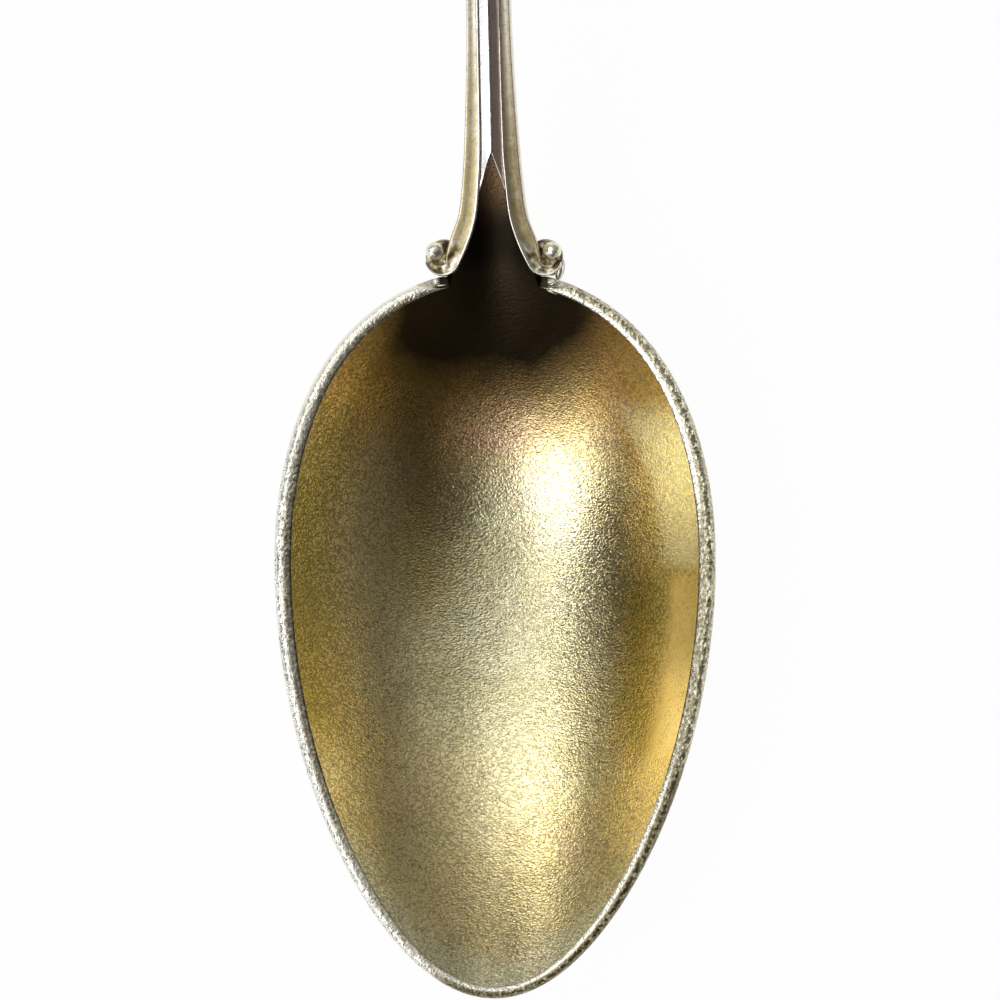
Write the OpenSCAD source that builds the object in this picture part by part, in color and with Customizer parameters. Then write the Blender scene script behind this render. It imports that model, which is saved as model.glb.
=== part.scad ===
// Silver-gilt teaspoon, built up the way a silversmith would: a raised bowl with a gold lining
// and a half-round rim wire, a forged stem with a ridge wire and two fluted edge wires that end in
// scrolls at the shoulders, and the small beads that finish each joint.
// X runs across the spoon, Y along it from the bowl's tip to the handle's end, and Z is up.
// The origin is under the middle of the spoon, on the table that it rests on.

/* [Spoon] */
// Length from the bowl's tip to the handle's end
overall_len = 148; // [135:1:160]

/* [Bowl] */
// Width of the bowl over its rim
bowl_w = 30; // [27:0.5:33]
// Length from the tip to the widest line
tip_len = 29.7; // [27:0.1:33]
// Length from the widest line to the heel, where the outline would close
heel_len = 19.6; // [18:0.1:22]
// Height of the bowl's edge over the table at the widest line
bowl_h = 8.6; // [7.6:0.1:9.6]
// How much higher the edge lies at the tip and the heel
rim_sheer = 0.5; // [0.2:0.05:0.9]
// Wall of the bowl at its bottom
wall = 1; // [0.8:0.05:1.3]
// Width of the bowl's edge at the sides
edge_side = 1.15; // [0.9:0.05:1.4]
// Width of the bowl's edge at the tip
edge_tip = 0.8; // [0.7:0.05:1.1]
// Width of the bowl's edge at the heel
edge_heel = 0.85; // [0.7:0.05:1.1]
// How much the outline draws in towards the tip
tip_pinch = 0.11; // [0:0.01:0.16]
// How much the outline fills out towards the heel
heel_fullness = 0.1; // [0.02:0.01:0.14]
// Power of the hollow's curve: 2 is a plain dish, and more is flatter with steeper sides
hollow_power = 2.4; // [2.1:0.1:2.8]

/* [Lining and rim] */
// Thickness of the gold lining
gilt_t = 0.1; // [0.08:0.01:0.15]
// Height of the half-round rim wire
rim_h = 0.55; // [0.4:0.05:0.7]

/* [Tongue] */
// Length of the hollow tongue from the bowl's heel up to its point on the stem
tongue_len = 7.8; // [7:0.1:9]
// Rise of the tongue's floor for each millimetre of length
tongue_slope = 0.4; // [0.36:0.01:0.44]

/* [Stem] */
// Width of the stem where it is narrowest
stem_w = 2.9; // [2.7:0.05:3.2]
// Thickness of the stem's metal under the tongue, where the stem meets the bowl
neck_under = 0.54; // [0.4:0.02:0.8]
// Rise of the stem's arch above the plain slope from the bowl down to the handle's end
arch_rise = 12.9; // [10:0.1:15]
// Width of each edge wire where the stem is narrowest
edge_wire_w = 0.8; // [0.7:0.02:0.86]
// Height of the edge wires
edge_wire_h = 0.75; // [0.6:0.05:0.9]
// Height of the ridge wire's crest
ridge_h = 0.85; // [0.75:0.05:1]
// Fall of the ridge wire's flanks for each millimetre of width
ridge_fall = 0.47; // [0.4:0.01:0.55]

/* [Scrolls] */
// Outer radius of each scroll
scroll_r = 1.22; // [1.1:0.02:1.3]
// Distance between the scrolls' centres
scroll_spread = 6.9; // [6.7:0.05:7.3]
// Thickness of the plate under each scroll
plate_t = 0.8; // [0.6:0.05:1]
// Radius of the ball in each scroll
ball_r = 0.68; // [0.6:0.02:0.72]

/* [Handle] */
// Width of the handle's blade
handle_w = 18.8; // [16:0.2:22]
// Thickness of the handle's blade
handle_t = 1.2; // [1:0.05:1.5]
// Length of the handle's end that lies level on the table
level_len = 8; // [6:0.5:9]
// Radius of the bead between the wires at the handle's end
crest_r = 0.85; // [0.7:0.05:1]

/* [Hidden] */
silver = [0.8, 0.79, 0.76];
gold = [0.8, 0.64, 0.3];

// Solder seam between pieces, and how far a cutting block runs past what it cuts
seam = 0.025;
overrun = 1;
// Keeps a division away from zero
least = 1e-9;
// Short step along the stem, used to find its slope at a place
probe = 0.5;

// Bowl: places on the length, counted from the tip, and the inner outline's half sizes
belly_y = tip_len;
heel_y = tip_len + heel_len;
in_w = bowl_w / 2 - edge_side;
in_tip = tip_len - edge_tip;
in_heel = heel_len - edge_heel;
// The rim wire is full up to the first angle and tapers off to a point at the second, where a share
// of its height is left; it narrows by a power of that share
rim_full_angle = 161;
rim_end_angle = 168.5;
rim_end_share = 0.1;
rim_narrow_power = 1.4;
tip_steps = 17;
heel_steps = 13;
taper_steps = 5;
// Strips across the hollow from one edge to the other
hollow_steps = 24;
// Cross-section of the half-round rim wire: shares of its width and of its height
rim_section_shares = [[0, 0.35], [0.13, 0.74], [0.3, 0.94], [0.5, 1], [0.7, 0.94], [0.87, 0.74], [1, 0.35]];

// Tongue: how much its sides stand over its middle, how it lifts off again at the bowl's widest
// line, and the height over which it blends into the bowl
tongue_dip = 0.4;
tongue_lift = 11.5;
tongue_blend = 2;
apex_y = heel_y + tongue_len;

// Scrolls: centre, where the circle takes over from the stem's edge, and the ball's place
scroll_gap_share = 0.62;
scroll_x = scroll_spread / 2;
scroll_y = heel_y + scroll_r * scroll_gap_share;
scroll_start = 210;
ball_angle = 45;
ball_reach_share = 0.62;
ball_reach = scroll_r * ball_reach_share;
ball_lift_share = 0.6;
ball_lift = ball_r * ball_lift_share;
// Width of the edge wire at the start and at the end of its scroll, as shares of the scroll's radius
scroll_start_share = 0.8;
scroll_end_share = 0.38;
// Where the tongue's edge follows the scroll, from the stem's side round to the bowl's
scroll_entry_angles = [216, 225, 235];
// How far the wire's two edges run on before they turn towards the stem, in scroll radii
inner_pull_share = 1.1;
outer_pull_share = 1.6;
outer_lean_share = 0.15;

// Stem: it starts beside the scrolls and ends at the handle's end
stem_y = scroll_y - scroll_r / 2;
stem_len = overall_len - stem_y;
join_share = 2.66;
join_y = scroll_y + scroll_r * join_share;
neck_sink = 0.3;
stem_z = bowl_h + rim_sheer - neck_sink;
cap_share = 0.909;
cap_y = stem_y + stem_len * cap_share;
cap_len = overall_len - cap_y;
cap_end_angle = 85;
level_y = overall_len - level_len;
// Half width of the stem: [share of its length, share of half stem_w, share of half handle_w]
width_shares = [[0, 1.64, 0], [0.008, 1.87, 0], [0.016, 1.95, 0], [0.022, 1.9, 0], [0.03, 1.7, 0],
    [0.041, 1.538, 0],
    [0.058, 1.4, 0], [0.078, 1.29, 0], [0.116, 1.145, 0], [0.15, 1.048, 0], [0.184, 1.007, 0],
    [0.26, 1, 0], [0.36, 1, 0.016], [0.462, 0.98, 0.072], [0.564, 0.85, 0.188],
    [0.665, 0.6, 0.418], [0.767, 0.28, 0.744], [0.848, 0.07, 0.946], [cap_share, 0, 1]];
// Rise of the arch: [share of the way to the level end, share of arch_rise]. The last row lies past
// the level end and only makes the curve arrive there level
arch_shares = [[0, 0], [0.033, 0.063], [0.085, 0.175], [0.139, 0.316], [0.201, 0.478],
    [0.283, 0.685], [0.393, 0.907], [0.481, 0.998], [0.581, 0.96], [0.691, 0.703],
    [0.779, 0.422], [0.857, 0.196], [0.912, 0.077], [0.956, 0.02], [1, 0], [1.044, 0.02]];
// How far the bar has thinned from neck_t to handle_t: [share of the stem's length, share]
thin_shares = [[0, 0], [0.03, 0.13], [0.078, 0.3], [0.2, 0.52], [0.4, 0.65], [0.6, 0.78], [0.8, 0.93],
    [0.9, 1], [1, 1]];
// Width of the edge wires: [share of the stem's length, share of edge_wire_w]
wire_shares = [[0.041, 1.54], [0.058, 1.475], [0.078, 1.44], [0.116, 1.225], [0.15, 1.06],
    [0.184, 1], [0.36, 1], [0.56, 1.08], [0.767, 1.18], [cap_share, 1.2], [1, 1.2]];
// Cross-section of the fluted edge wire: shares of its width and of its height
wire_section_shares = [[0, 0.62], [0.1, 1], [0.22, 0.9], [0.5, 0.7], [0.76, 0.88], [0.9, 1], [1, 0.6]];
// Underside of the bar: shares of its half width and of its thickness
belly_shares = [[0, 1], [0.22, 1], [0.46, 1], [0.7, 0.95], [0.88, 0.76], [1, 0.42]];
// Places across the trough, as shares of its half width
trough_column_shares = [0, 0.35, 0.7, 1];
// Ridge wire: where it starts to fade, where it ends, and what is left of it there
ridge_fade_share = 0.36;
ridge_end_share = 0.64;
ridge_left_share = 0.16;
ridge_soft = 0.1;
// Length over which the ridge's rows turn from the notch's slant to square across
ridge_settle = 3;
ridge_column_shares = [-1, -0.66, -0.3, 0, 0.3, 0.66, 1];

// Heel drop under the bowl: its length, and what is left of its thickness at its tip and its edges
drop_len = 9;
drop_steps = 12;
drop_end_angle = 86;
drop_column_shares = [-1, -0.85, -0.5, 0, 0.5, 0.85, 1];
drop_tip_share = 0.12;
drop_edge_share = 0.25;

// Shoulder bead: its radius, its height, the shares of both that make its outline, and its place
bead_r = 0.28;
bead_h = 0.62;
bead_shares = [[0.7, 0], [0.7, 0.2], [1, 0.36], [1, 0.56], [0.7, 0.72], [0.8, 0.84], [0.5, 1], [0, 1]];
bead_angle = 166;
bead_across_share = 0.68;
crest_lift_share = 0.45;

function lerp(a, b, t) = a + (b - a) * t;
function soft_min(a, b, r) = min(a, b) - pow(max(r - abs(a - b), 0), 2) / (4 * r);
function steps(a, b, n) = [for (i = [0:n]) lerp(a, b, i / n)];
function around(p, r, a) = [p[0] + r * cos(a), p[1] + r * sin(a)];
function mirrored(points) = [for (i = [len(points) - 1:-1:0]) [-points[i][0], points[i][1]]];

// A smooth curve through a table's rows, read at x, and carried on straight past its ends
function row_at(t, x, i = 0) = i >= len(t) - 2 || x < t[i + 1][0] ? i : row_at(t, x, i + 1);
function row_slope(t, i, k) =
    let (a = max(i - 1, 0), b = min(i + 1, len(t) - 1))
    (t[b][k] - t[a][k]) / (t[b][0] - t[a][0]);
function table_at(t, x, k = 1) =
    let (i = row_at(t, x), h = t[i + 1][0] - t[i][0], u = (x - t[i][0]) / h)
    let (m = row_slope(t, i, k), n = row_slope(t, i + 1, k), a = t[i][k], b = t[i + 1][k])
    u < 0 ? a + m * h * u :
    u > 1 ? b + n * h * (u - 1) :
    a + h * m * u + (3 * (b - a) - h * (2 * m + n)) * u * u
    + (2 * (a - b) + h * (m + n)) * u * u * u;

// A cubic curve from a to b that leaves along da and arrives along db
function bend(a, da, b, db, t) =
    let (s = 1 - t)
    s * s * s * a + 3 * s * s * t * (a + da) + 3 * s * t * t * (b - db) + t * t * t * b;

// Stem lines at a place y
function stem_share(y) = (y - stem_y) / stem_len;
function bar_top_z(y) =
    let (u = min(1, (y - stem_y) / (level_y - stem_y)))
    handle_t + (stem_z - handle_t) * (1 - u) * (1 - u) * (1 + u) + arch_rise * table_at(arch_shares, u);
function bar_rise(y) = (bar_top_z(y + probe) - bar_top_z(y - probe)) / (2 * probe);
function bar_thick(y) = lerp(neck_t, handle_t, min(1, table_at(thin_shares, stem_share(y))));
function bar_half(y) =
    let (s = min(stem_share(y), cap_share))
    stem_w / 2 * table_at(width_shares, s, 1) + handle_w / 2 * table_at(width_shares, s, 2);
function wire_wide(y) = edge_wire_w * table_at(wire_shares, stem_share(y));
function wire_inner(y) = bar_half(y) - wire_wide(y);
apex_z = bar_top_z(apex_y) + seam + ridge_h;

// The bowl's outline at an angle from 0 at the tip to 180 at the heel
function outline(a, half_w, tip, heel) =
    let (c = cos(a))
    [half_w * sin(a) * (1 + (c > 0 ? -tip_pinch : heel_fullness) * c * c),
        belly_y - (c > 0 ? tip : heel) * c];
function inner_edge(a) = outline(a, in_w, in_tip, in_heel);
function outer_edge(a) = outline(a, bowl_w / 2, tip_len, heel_len);

// Share of the way from the bowl's middle to its outline, squared, found in a few rounds
function reach_round(x, v, k, r2, n) =
    n == 0 ? r2 :
    reach_round(x, v, k, pow(x / (1 + k * min(1, v * v / r2)), 2) + v * v, n - 1);
function reach(p, half_w, tip, heel) =
    let (front = p[1] < belly_y, x = p[0] / half_w, v = (p[1] - belly_y) / (front ? tip : heel))
    let (r2 = max(x * x + v * v, least))
    [reach_round(x, v, front ? -tip_pinch : heel_fullness, r2, 5), v * v];

// Height of the dish, of the tongue's floor, and of the bowl shell's two faces
function dish_z(p, low, half_w, tip, heel) =
    let (q = reach(p, half_w, tip, heel))
    let (edge_z = bowl_h + rim_sheer * min(1, q[1] / q[0]))
    low + (edge_z - low) * pow(q[0], hollow_power / 2);
function tongue_z(p) =
    apex_z - tongue_slope * (apex_y - p[1]) + tongue_dip * pow(2 * p[0] / stem_w, 2)
    + tongue_lift * pow(max(0, heel_y - p[1]) / heel_len, 2);
function shell_top_z(p) =
    soft_min(dish_z(p, wall, in_w, in_tip, in_heel), tongue_z(p) - gilt_t, tongue_blend);
function shell_under_z(p) =
    soft_min(dish_z(p, 0, bowl_w / 2, tip_len, heel_len), tongue_z(p) - gilt_t - wall, tongue_blend);

// Edge wire seen from above: [point on its tongue side, point on its outer side] at each station
scroll_centre = [scroll_x, scroll_y];
scroll_end = ball_angle + 360 - acos(min(1, max(-1,
    (pow(scroll_r * (1 - scroll_end_share), 2) + pow(ball_reach, 2) - pow(ball_r + 3 * seam, 2))
    / (2 * scroll_r * (1 - scroll_end_share) * ball_reach))));
function scroll_wide(a) =
    scroll_r * lerp(scroll_start_share, scroll_end_share, (a - scroll_start) / (scroll_end - scroll_start));
function scroll_pair(a) =
    [around(scroll_centre, scroll_r, a), around(scroll_centre, scroll_r - scroll_wide(a), a)];
function stem_pair(y) = [[wire_inner(y), y], [bar_half(y), y]];
function join_pair(t) =
    let (from = scroll_pair(scroll_start), to = stem_pair(join_y), next = stem_pair(join_y + probe))
    let (in_pull = around([0, 0], scroll_r * inner_pull_share, scroll_start - 90))
    let (out_pull = [-outer_lean_share, 1] * scroll_r * outer_pull_share)
    [bend(from[0], in_pull, to[0], (next[0] - to[0]) / probe * scroll_r, t),
        bend(from[1], out_pull, to[1], (next[1] - to[1]) / probe * scroll_r, t)];
function cap_pair(a) =
    let (w = wire_wide(cap_y))
    [[(handle_w / 2 - w) * cos(a), cap_y + (cap_len - w) * sin(a)],
        [handle_w / 2 * cos(a), cap_y + cap_len * sin(a)]];
crest_angle = acos((crest_r + seam) / (handle_w / 2 - wire_wide(cap_y)));
stem_places = steps(join_y, cap_y, 34);
wire_pairs = concat(
    [for (a = steps(scroll_end, scroll_start, 12)) scroll_pair(a)],
    [for (i = [1:8]) join_pair(i / 9)],
    [for (y = stem_places) stem_pair(y)],
    [for (i = [1:12]) cap_pair(crest_angle * i / 12)]);

// The tongue's edge, from the rim's end up to the point: along the scroll, the stem and the ridge
function notch_y(x) = apex_y - abs(x) * ridge_fall / (tongue_slope - bar_rise(apex_y));
function notch_foot(y, n) = n == 0 ? y : notch_foot(notch_y(wire_inner(y)), n - 1);
foot_y = notch_foot(apex_y, 6);
foot_x = wire_inner(foot_y);
tongue_edge = concat(
    [for (i = [len(scroll_entry_angles) - 1:-1:0])
        around(scroll_centre, scroll_r + seam, scroll_entry_angles[i])],
    [for (i = [0:6]) join_pair(i / 6)[0] - [seam, 0]],
    [for (i = [1:3]) let (y = lerp(join_y, foot_y, i / 3)) [wire_inner(y) - seam, y]],
    [for (i = [2, 1]) [foot_x * i / 3, notch_y(foot_x * i / 3)]]);

// The bowl's right-hand outlines, from beside the tip up to beside the tongue's point
function clear_of_scroll(p) =
    let (d = norm(p - scroll_centre), r = scroll_r + seam)
    d < r ? scroll_centre + (p - scroll_centre) * r / d : p;
rim_angles = concat([for (i = [1:tip_steps]) 90 * i / tip_steps],
    [for (i = [1:heel_steps]) lerp(90, rim_full_angle, i / heel_steps)],
    [for (i = [1:taper_steps]) lerp(rim_full_angle, rim_end_angle, i / taper_steps)]);
inner_side = concat([for (a = rim_angles) inner_edge(a)], tongue_edge);
outer_side = concat([for (a = rim_angles) clear_of_scroll(outer_edge(a))], tongue_edge);

// The bowl's skins: rows across it, from beside the tip up to beside the tongue's point
function across_row(p) = [for (j = [0:hollow_steps]) [p[0] * (2 * j / hollow_steps - 1), p[1]]];
shell_top = [for (side = inner_side) [for (p = across_row(side)) [p[0], p[1], shell_top_z(p)]]];
shell_under = [for (i = [0:len(outer_side) - 1]) let (row = across_row(outer_side[i]))
    [for (j = [0:hollow_steps]) let (p = row[j], on_band = j % hollow_steps == 0 && i < len(rim_angles))
        [p[0], p[1], on_band ? shell_top[i][j][2] : shell_under_z(p)]]];
function skin_ends(tip, z_up) =
    [[0, tip[1], bowl_h + rim_sheer + z_up], [0, apex_y, shell_top_z([0, apex_y]) + z_up]];
top_ends = skin_ends(inner_edge(0), 0);
under_ends = [[0, 0, bowl_h + rim_sheer], [0, apex_y, shell_under_z([0, apex_y])]];
function raised(rows, t) = [for (row = rows) [for (p = row) [p[0], p[1], p[2] + t]]];

// Top of the bar, with the trough that the tongue lies in, and the bar's whole thickness at the bowl
function trough_z(p) = min(shell_under_z(p) - 2 * seam, bar_top_z(p[1]) - seam);
neck_t = bar_top_z(stem_y) - trough_z([0, stem_y]) + seam + neck_under;

// A closed skin between two faces made of rows, each drawn together to a point at both ends
module dished(top, under, top_ends, under_ends) {
    n = len(top);
    m = len(top[0]);
    tip = 2 * n * m;
    function t(i, j) = i * m + j;
    function u(i, j) = (n + i) * m + j;
    points = concat([for (row = top) each row], [for (row = under) each row],
        [top_ends[0], under_ends[0], top_ends[1], under_ends[1]]);
    polyhedron(points, concat(
        [for (i = [0:n - 2], j = [0:m - 2]) each [
            [t(i, j), t(i + 1, j), t(i + 1, j + 1)], [t(i, j), t(i + 1, j + 1), t(i, j + 1)],
            [u(i, j), u(i + 1, j + 1), u(i + 1, j)], [u(i, j), u(i, j + 1), u(i + 1, j + 1)]]],
        [for (j = [0:m - 2]) each [
            [tip, t(0, j), t(0, j + 1)], [tip + 1, u(0, j + 1), u(0, j)],
            [tip + 2, t(n - 1, j + 1), t(n - 1, j)], [tip + 3, u(n - 1, j), u(n - 1, j + 1)]]],
        [for (i = [0:n - 2]) each [
            [t(i + 1, 0), t(i, 0), u(i, 0)], [t(i + 1, 0), u(i, 0), u(i + 1, 0)],
            [t(i, m - 1), t(i + 1, m - 1), u(i + 1, m - 1)], [t(i, m - 1), u(i + 1, m - 1), u(i, m - 1)]]],
        [[tip, tip + 1, u(0, 0)], [tip, u(0, 0), t(0, 0)],
            [tip, t(0, m - 1), u(0, m - 1)], [tip, u(0, m - 1), tip + 1],
            [tip + 2, u(n - 1, 0), tip + 3], [tip + 2, t(n - 1, 0), u(n - 1, 0)],
            [tip + 2, tip + 3, u(n - 1, m - 1)], [tip + 2, u(n - 1, m - 1), t(n - 1, m - 1)]]));
}

// A closed slab between two grids of points: rows along it, columns across it
module slab(top, under) {
    n = len(top);
    m = len(top[0]);
    function t(i, j) = i * m + j;
    function u(i, j) = (n + i) * m + j;
    points = concat([for (row = top) each row], [for (row = under) each row]);
    polyhedron(points, concat(
        [for (i = [0:n - 2], j = [0:m - 2]) each [
            [t(i, j), t(i + 1, j), t(i + 1, j + 1)], [t(i, j), t(i + 1, j + 1), t(i, j + 1)],
            [u(i, j), u(i + 1, j + 1), u(i + 1, j)], [u(i, j), u(i, j + 1), u(i + 1, j + 1)]]],
        [for (i = [0:n - 2]) each [
            [t(i + 1, 0), t(i, 0), u(i, 0)], [t(i + 1, 0), u(i, 0), u(i + 1, 0)],
            [t(i, m - 1), t(i + 1, m - 1), u(i + 1, m - 1)], [t(i, m - 1), u(i + 1, m - 1), u(i, m - 1)]]],
        [for (j = [0:m - 2]) each [
            [t(0, j), t(0, j + 1), u(0, j + 1)], [t(0, j), u(0, j + 1), u(0, j)],
            [t(n - 1, j + 1), t(n - 1, j), u(n - 1, j)], [t(n - 1, j + 1), u(n - 1, j), u(n - 1, j + 1)]]]));
}

module in_place() {
    translate([0, -overall_len / 2, 0]) children();
}

module bowl_shell() {
    color(silver) dished(shell_top, shell_under, top_ends, under_ends);
}

module gilt_lining() {
    color(gold) dished(raised(shell_top, gilt_t), shell_top, skin_ends(inner_edge(0), gilt_t), top_ends);
}

// Half-round wire on the bowl's edge, open at the heel, with a tapered end under each scroll
module rim_wire() {
    angles = concat([for (i = [len(rim_angles) - 1:-1:0]) -rim_angles[i]], [0], rim_angles);
    function taper(a) = (rim_end_angle - abs(a)) / (rim_end_angle - rim_full_angle);
    function left_over(a) = min(1, max(rim_end_share, taper(a)));
    function across(a, u) =
        let (fit = seam / edge_side)
        lerp(inner_edge(a), outer_edge(a), fit + (1 - fit) * u * pow(left_over(a), rim_narrow_power));
    function seat_z(a) = shell_top_z(inner_edge(a)) + seam;
    function row(a, up) = [for (s = rim_section_shares)
        let (p = across(a, s[0])) [p[0], p[1], seat_z(a) + up * rim_h * s[1] * sqrt(left_over(a))]];
    color(silver) slab([for (a = angles) row(a, 1)], [for (a = angles) row(a, 0)]);
}

// The stem's lower end, drawn out into a drop on the back of the bowl
module heel_drop() {
    half = join_pair(0)[0][0] - 2 * seam;
    function thick_at(t, u) =
        neck_under * (1 - t * t * (1 - drop_tip_share)) * (1 - (1 - drop_edge_share) * pow(abs(u), 3));
    rows = [for (i = [drop_steps:-1:0]) [for (u = drop_column_shares)
        let (a = drop_end_angle * i / drop_steps, t = sin(a) / sin(drop_end_angle))
        let (p = [half * cos(a) * u, stem_y - seam - drop_len * t])
        [p[0], p[1], shell_under_z(p) - 3 * seam, thick_at(t, u)]]];
    color(silver) slab(
        [for (row = rows) [for (p = row) [p[0], p[1], p[2]]]],
        [for (row = rows) [for (p = row) [p[0], p[1], p[2] - p[3]]]]);
}

// Forged bar of the stem, spread out into the handle's blade
module stem_bar() {
    neck_places = [for (i = [0:7]) lerp(stem_y, join_y, i / 8)];
    caps = [for (i = [1:9]) cap_end_angle * i / 9];
    // The trough is as wide as the gap between the edge wires
    wire_line = [for (i = [0:9]) let (q = join_pair(i / 9)[0]) [q[1], q[0]]];
    function trough_half(y) = y < join_y ? table_at(wire_line, y) : wire_inner(y);
    stations = concat(
        [for (y = concat(neck_places, stem_places)) [y, bar_half(y), trough_half(y)]],
        [for (a = caps) [cap_y + cap_len * sin(a) / sin(cap_end_angle), handle_w / 2 * cos(a),
            (handle_w / 2 - wire_wide(cap_y)) * cos(a)]]);
    function trough_point(x, y) = [x, y, trough_z([x, y])];
    function half_top(s) =
        let (y = s[0], z = bar_top_z(y))
        concat([for (u = trough_column_shares) trough_point(s[2] * u, y)], [[s[2], y, z], [s[1], y, z]]);
    function half_under(s) =
        let (y = s[0], z = bar_top_z(y), t = bar_thick(y))
        [for (b = belly_shares) [s[1] * b[0], y, z - t * b[1]]];
    function whole(half) =
        concat([for (i = [len(half) - 1:-1:1]) [-half[i][0], half[i][1], half[i][2]]], half);
    color(silver) slab([for (s = stations) whole(half_top(s))], [for (s = stations) whole(half_under(s))]);
}

// Roof-shaped ridge between the edge wires, notched round the tongue's point at its lower end
module ridge_wire() {
    end_y = stem_y + stem_len * ridge_end_share;
    fade_y = stem_y + stem_len * ridge_fade_share;
    function fade(y) = lerp(1, ridge_left_share, max(0, (y - fade_y) / (end_y - fade_y)));
    function half_at(y) = (y < fade_y ? wire_inner(y) : wire_inner(fade_y) * fade(y)) - seam;
    function shifted(x, y) = y + (notch_y(x) - apex_y) * max(0, 1 - (y - apex_y) / ridge_settle) + seam;
    function place(u, y, x, n) =
        let (next = half_at(shifted(x, y)) * u)
        n == 0 ? [x, shifted(x, y)] : place(u, y, next, n - 1);
    function crest_z(p) =
        let (off = sqrt(p[0] * p[0] + ridge_soft * ridge_soft) - ridge_soft)
        bar_top_z(p[1]) + seam + ridge_h * fade(p[1]) - ridge_fall * off;
    settled_y = apex_y + ridge_settle;
    middle_places = [for (y = stem_places) if (y > settled_y && y < end_y) y];
    places = concat(steps(apex_y, settled_y, 5), middle_places, [end_y]);
    spots = [for (y = places) [for (u = ridge_column_shares) place(u, y, half_at(y) * u, 4)]];
    color(silver) slab(
        [for (row = spots) [for (p = row) [p[0], p[1], crest_z(p)]]],
        [for (row = spots) [for (p = row) [p[0], p[1], min(bar_top_z(p[1]), crest_z(p) - seam)]]]);
}

// Fluted wire along one edge of the stem, from its scroll round to the handle's end
module edge_wire() {
    function spot(pair, u) = lerp(pair[0], pair[1], u);
    color(silver) slab(
        [for (pair = wire_pairs) [for (s = wire_section_shares)
            let (p = spot(pair, s[0])) [p[0], p[1], bar_top_z(p[1]) + seam + edge_wire_h * s[1]]]],
        [for (pair = wire_pairs) [for (s = wire_section_shares)
            let (p = spot(pair, s[0])) [p[0], p[1], bar_top_z(p[1]) + seam]]]);
}

// What lies in the stem's plane at the scrolls: children stand on the bar's top at a place p
module on_neck(p) {
    rise = bar_rise(scroll_y);
    translate([p[0], p[1], bar_top_z(scroll_y) + (p[1] - scroll_y) * rise])
        rotate([atan(rise), 0, 0]) children();
}

// Plate under the scroll, shaped to butt against the stem's side
module scroll_plate() {
    r = scroll_r - seam;
    low = stem_y - seam - scroll_y;
    function side(v) = max(bar_half(scroll_y + v) + 3 * seam - scroll_x, -sqrt(max(0, r * r - v * v)));
    function high_round(v, n) = n == 0 ? v : high_round(sqrt(r * r - side(v) * side(v)), n - 1);
    high = high_round(r / 2, 5);
    from = asin(low / r) * -1 - 180;
    to = 180 - asin(high / r);
    color(silver) on_neck(scroll_centre) translate([0, 0, -plate_t]) linear_extrude(plate_t)
        polygon(concat([for (a = steps(from, to, 40)) [r * cos(a), r * sin(a)]],
            [for (i = [1:6]) let (v = lerp(high, low, i / 7)) [side(v), v]]));
}

// A ball with a flat seat, which stands on the surface at z = 0
module seated_ball(r, lift) {
    side = 2 * (r + overrun);
    difference() {
        translate([0, 0, lift]) sphere(r, $fn = 48);
        translate([-side / 2, -side / 2, -side / 2]) cube([side, side, side / 2]);
    }
}

module scroll_ball() {
    color(silver) on_neck(around(scroll_centre, ball_reach, ball_angle)) translate([0, 0, seam])
        seated_ball(ball_r, ball_lift);
}

// Turned bead on the bowl's shoulder, between the rim wire's end and the scroll
module shoulder_bead() {
    p = lerp(inner_edge(bead_angle), outer_edge(bead_angle), bead_across_share);
    color(silver) translate([p[0], p[1], shell_top_z(inner_edge(bead_angle)) + 2 * seam])
        rotate_extrude($fn = 40)
        polygon(concat([[0, 0]], [for (s = bead_shares) [s[0] * bead_r, s[1] * bead_h]]));
}

// Bead that covers the meeting of the two edge wires at the handle's end
module crest_bead() {
    color(silver) translate([0, overall_len - crest_r - seam, handle_t + seam])
        seated_ball(crest_r, crest_r * crest_lift_share);
}

in_place() bowl_shell();
in_place() gilt_lining();
in_place() rim_wire();
in_place() heel_drop();
in_place() stem_bar();
in_place() ridge_wire();
in_place() edge_wire();  // edge_wire_right
in_place() mirror([1, 0, 0]) edge_wire();  // edge_wire_left
in_place() scroll_plate();  // scroll_plate_right
in_place() mirror([1, 0, 0]) scroll_plate();  // scroll_plate_left
in_place() scroll_ball();  // scroll_ball_right
in_place() mirror([1, 0, 0]) scroll_ball();  // scroll_ball_left
in_place() shoulder_bead();  // shoulder_bead_right
in_place() mirror([1, 0, 0]) shoulder_bead();  // shoulder_bead_left
in_place() crest_bead();
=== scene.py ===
"""A silver teaspoon with a matt gold bowl, seen from straight above.

The spoon is laid out as its maker would: along y from the bowl's tip, in metres, and then moved to the
frame's own origin. `Lines` holds the sizes and the curves that the pieces share, each sub-assembly class
builds and dresses its own pieces, and each finish is a small class that makes one material.
"""
import logging
import math
from dataclasses import dataclass, field
from enum import Enum
from typing import Any, Mapping, Sequence

import bmesh
import bpy
import numpy as np
from mathutils import Matrix, Vector, noise


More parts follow.
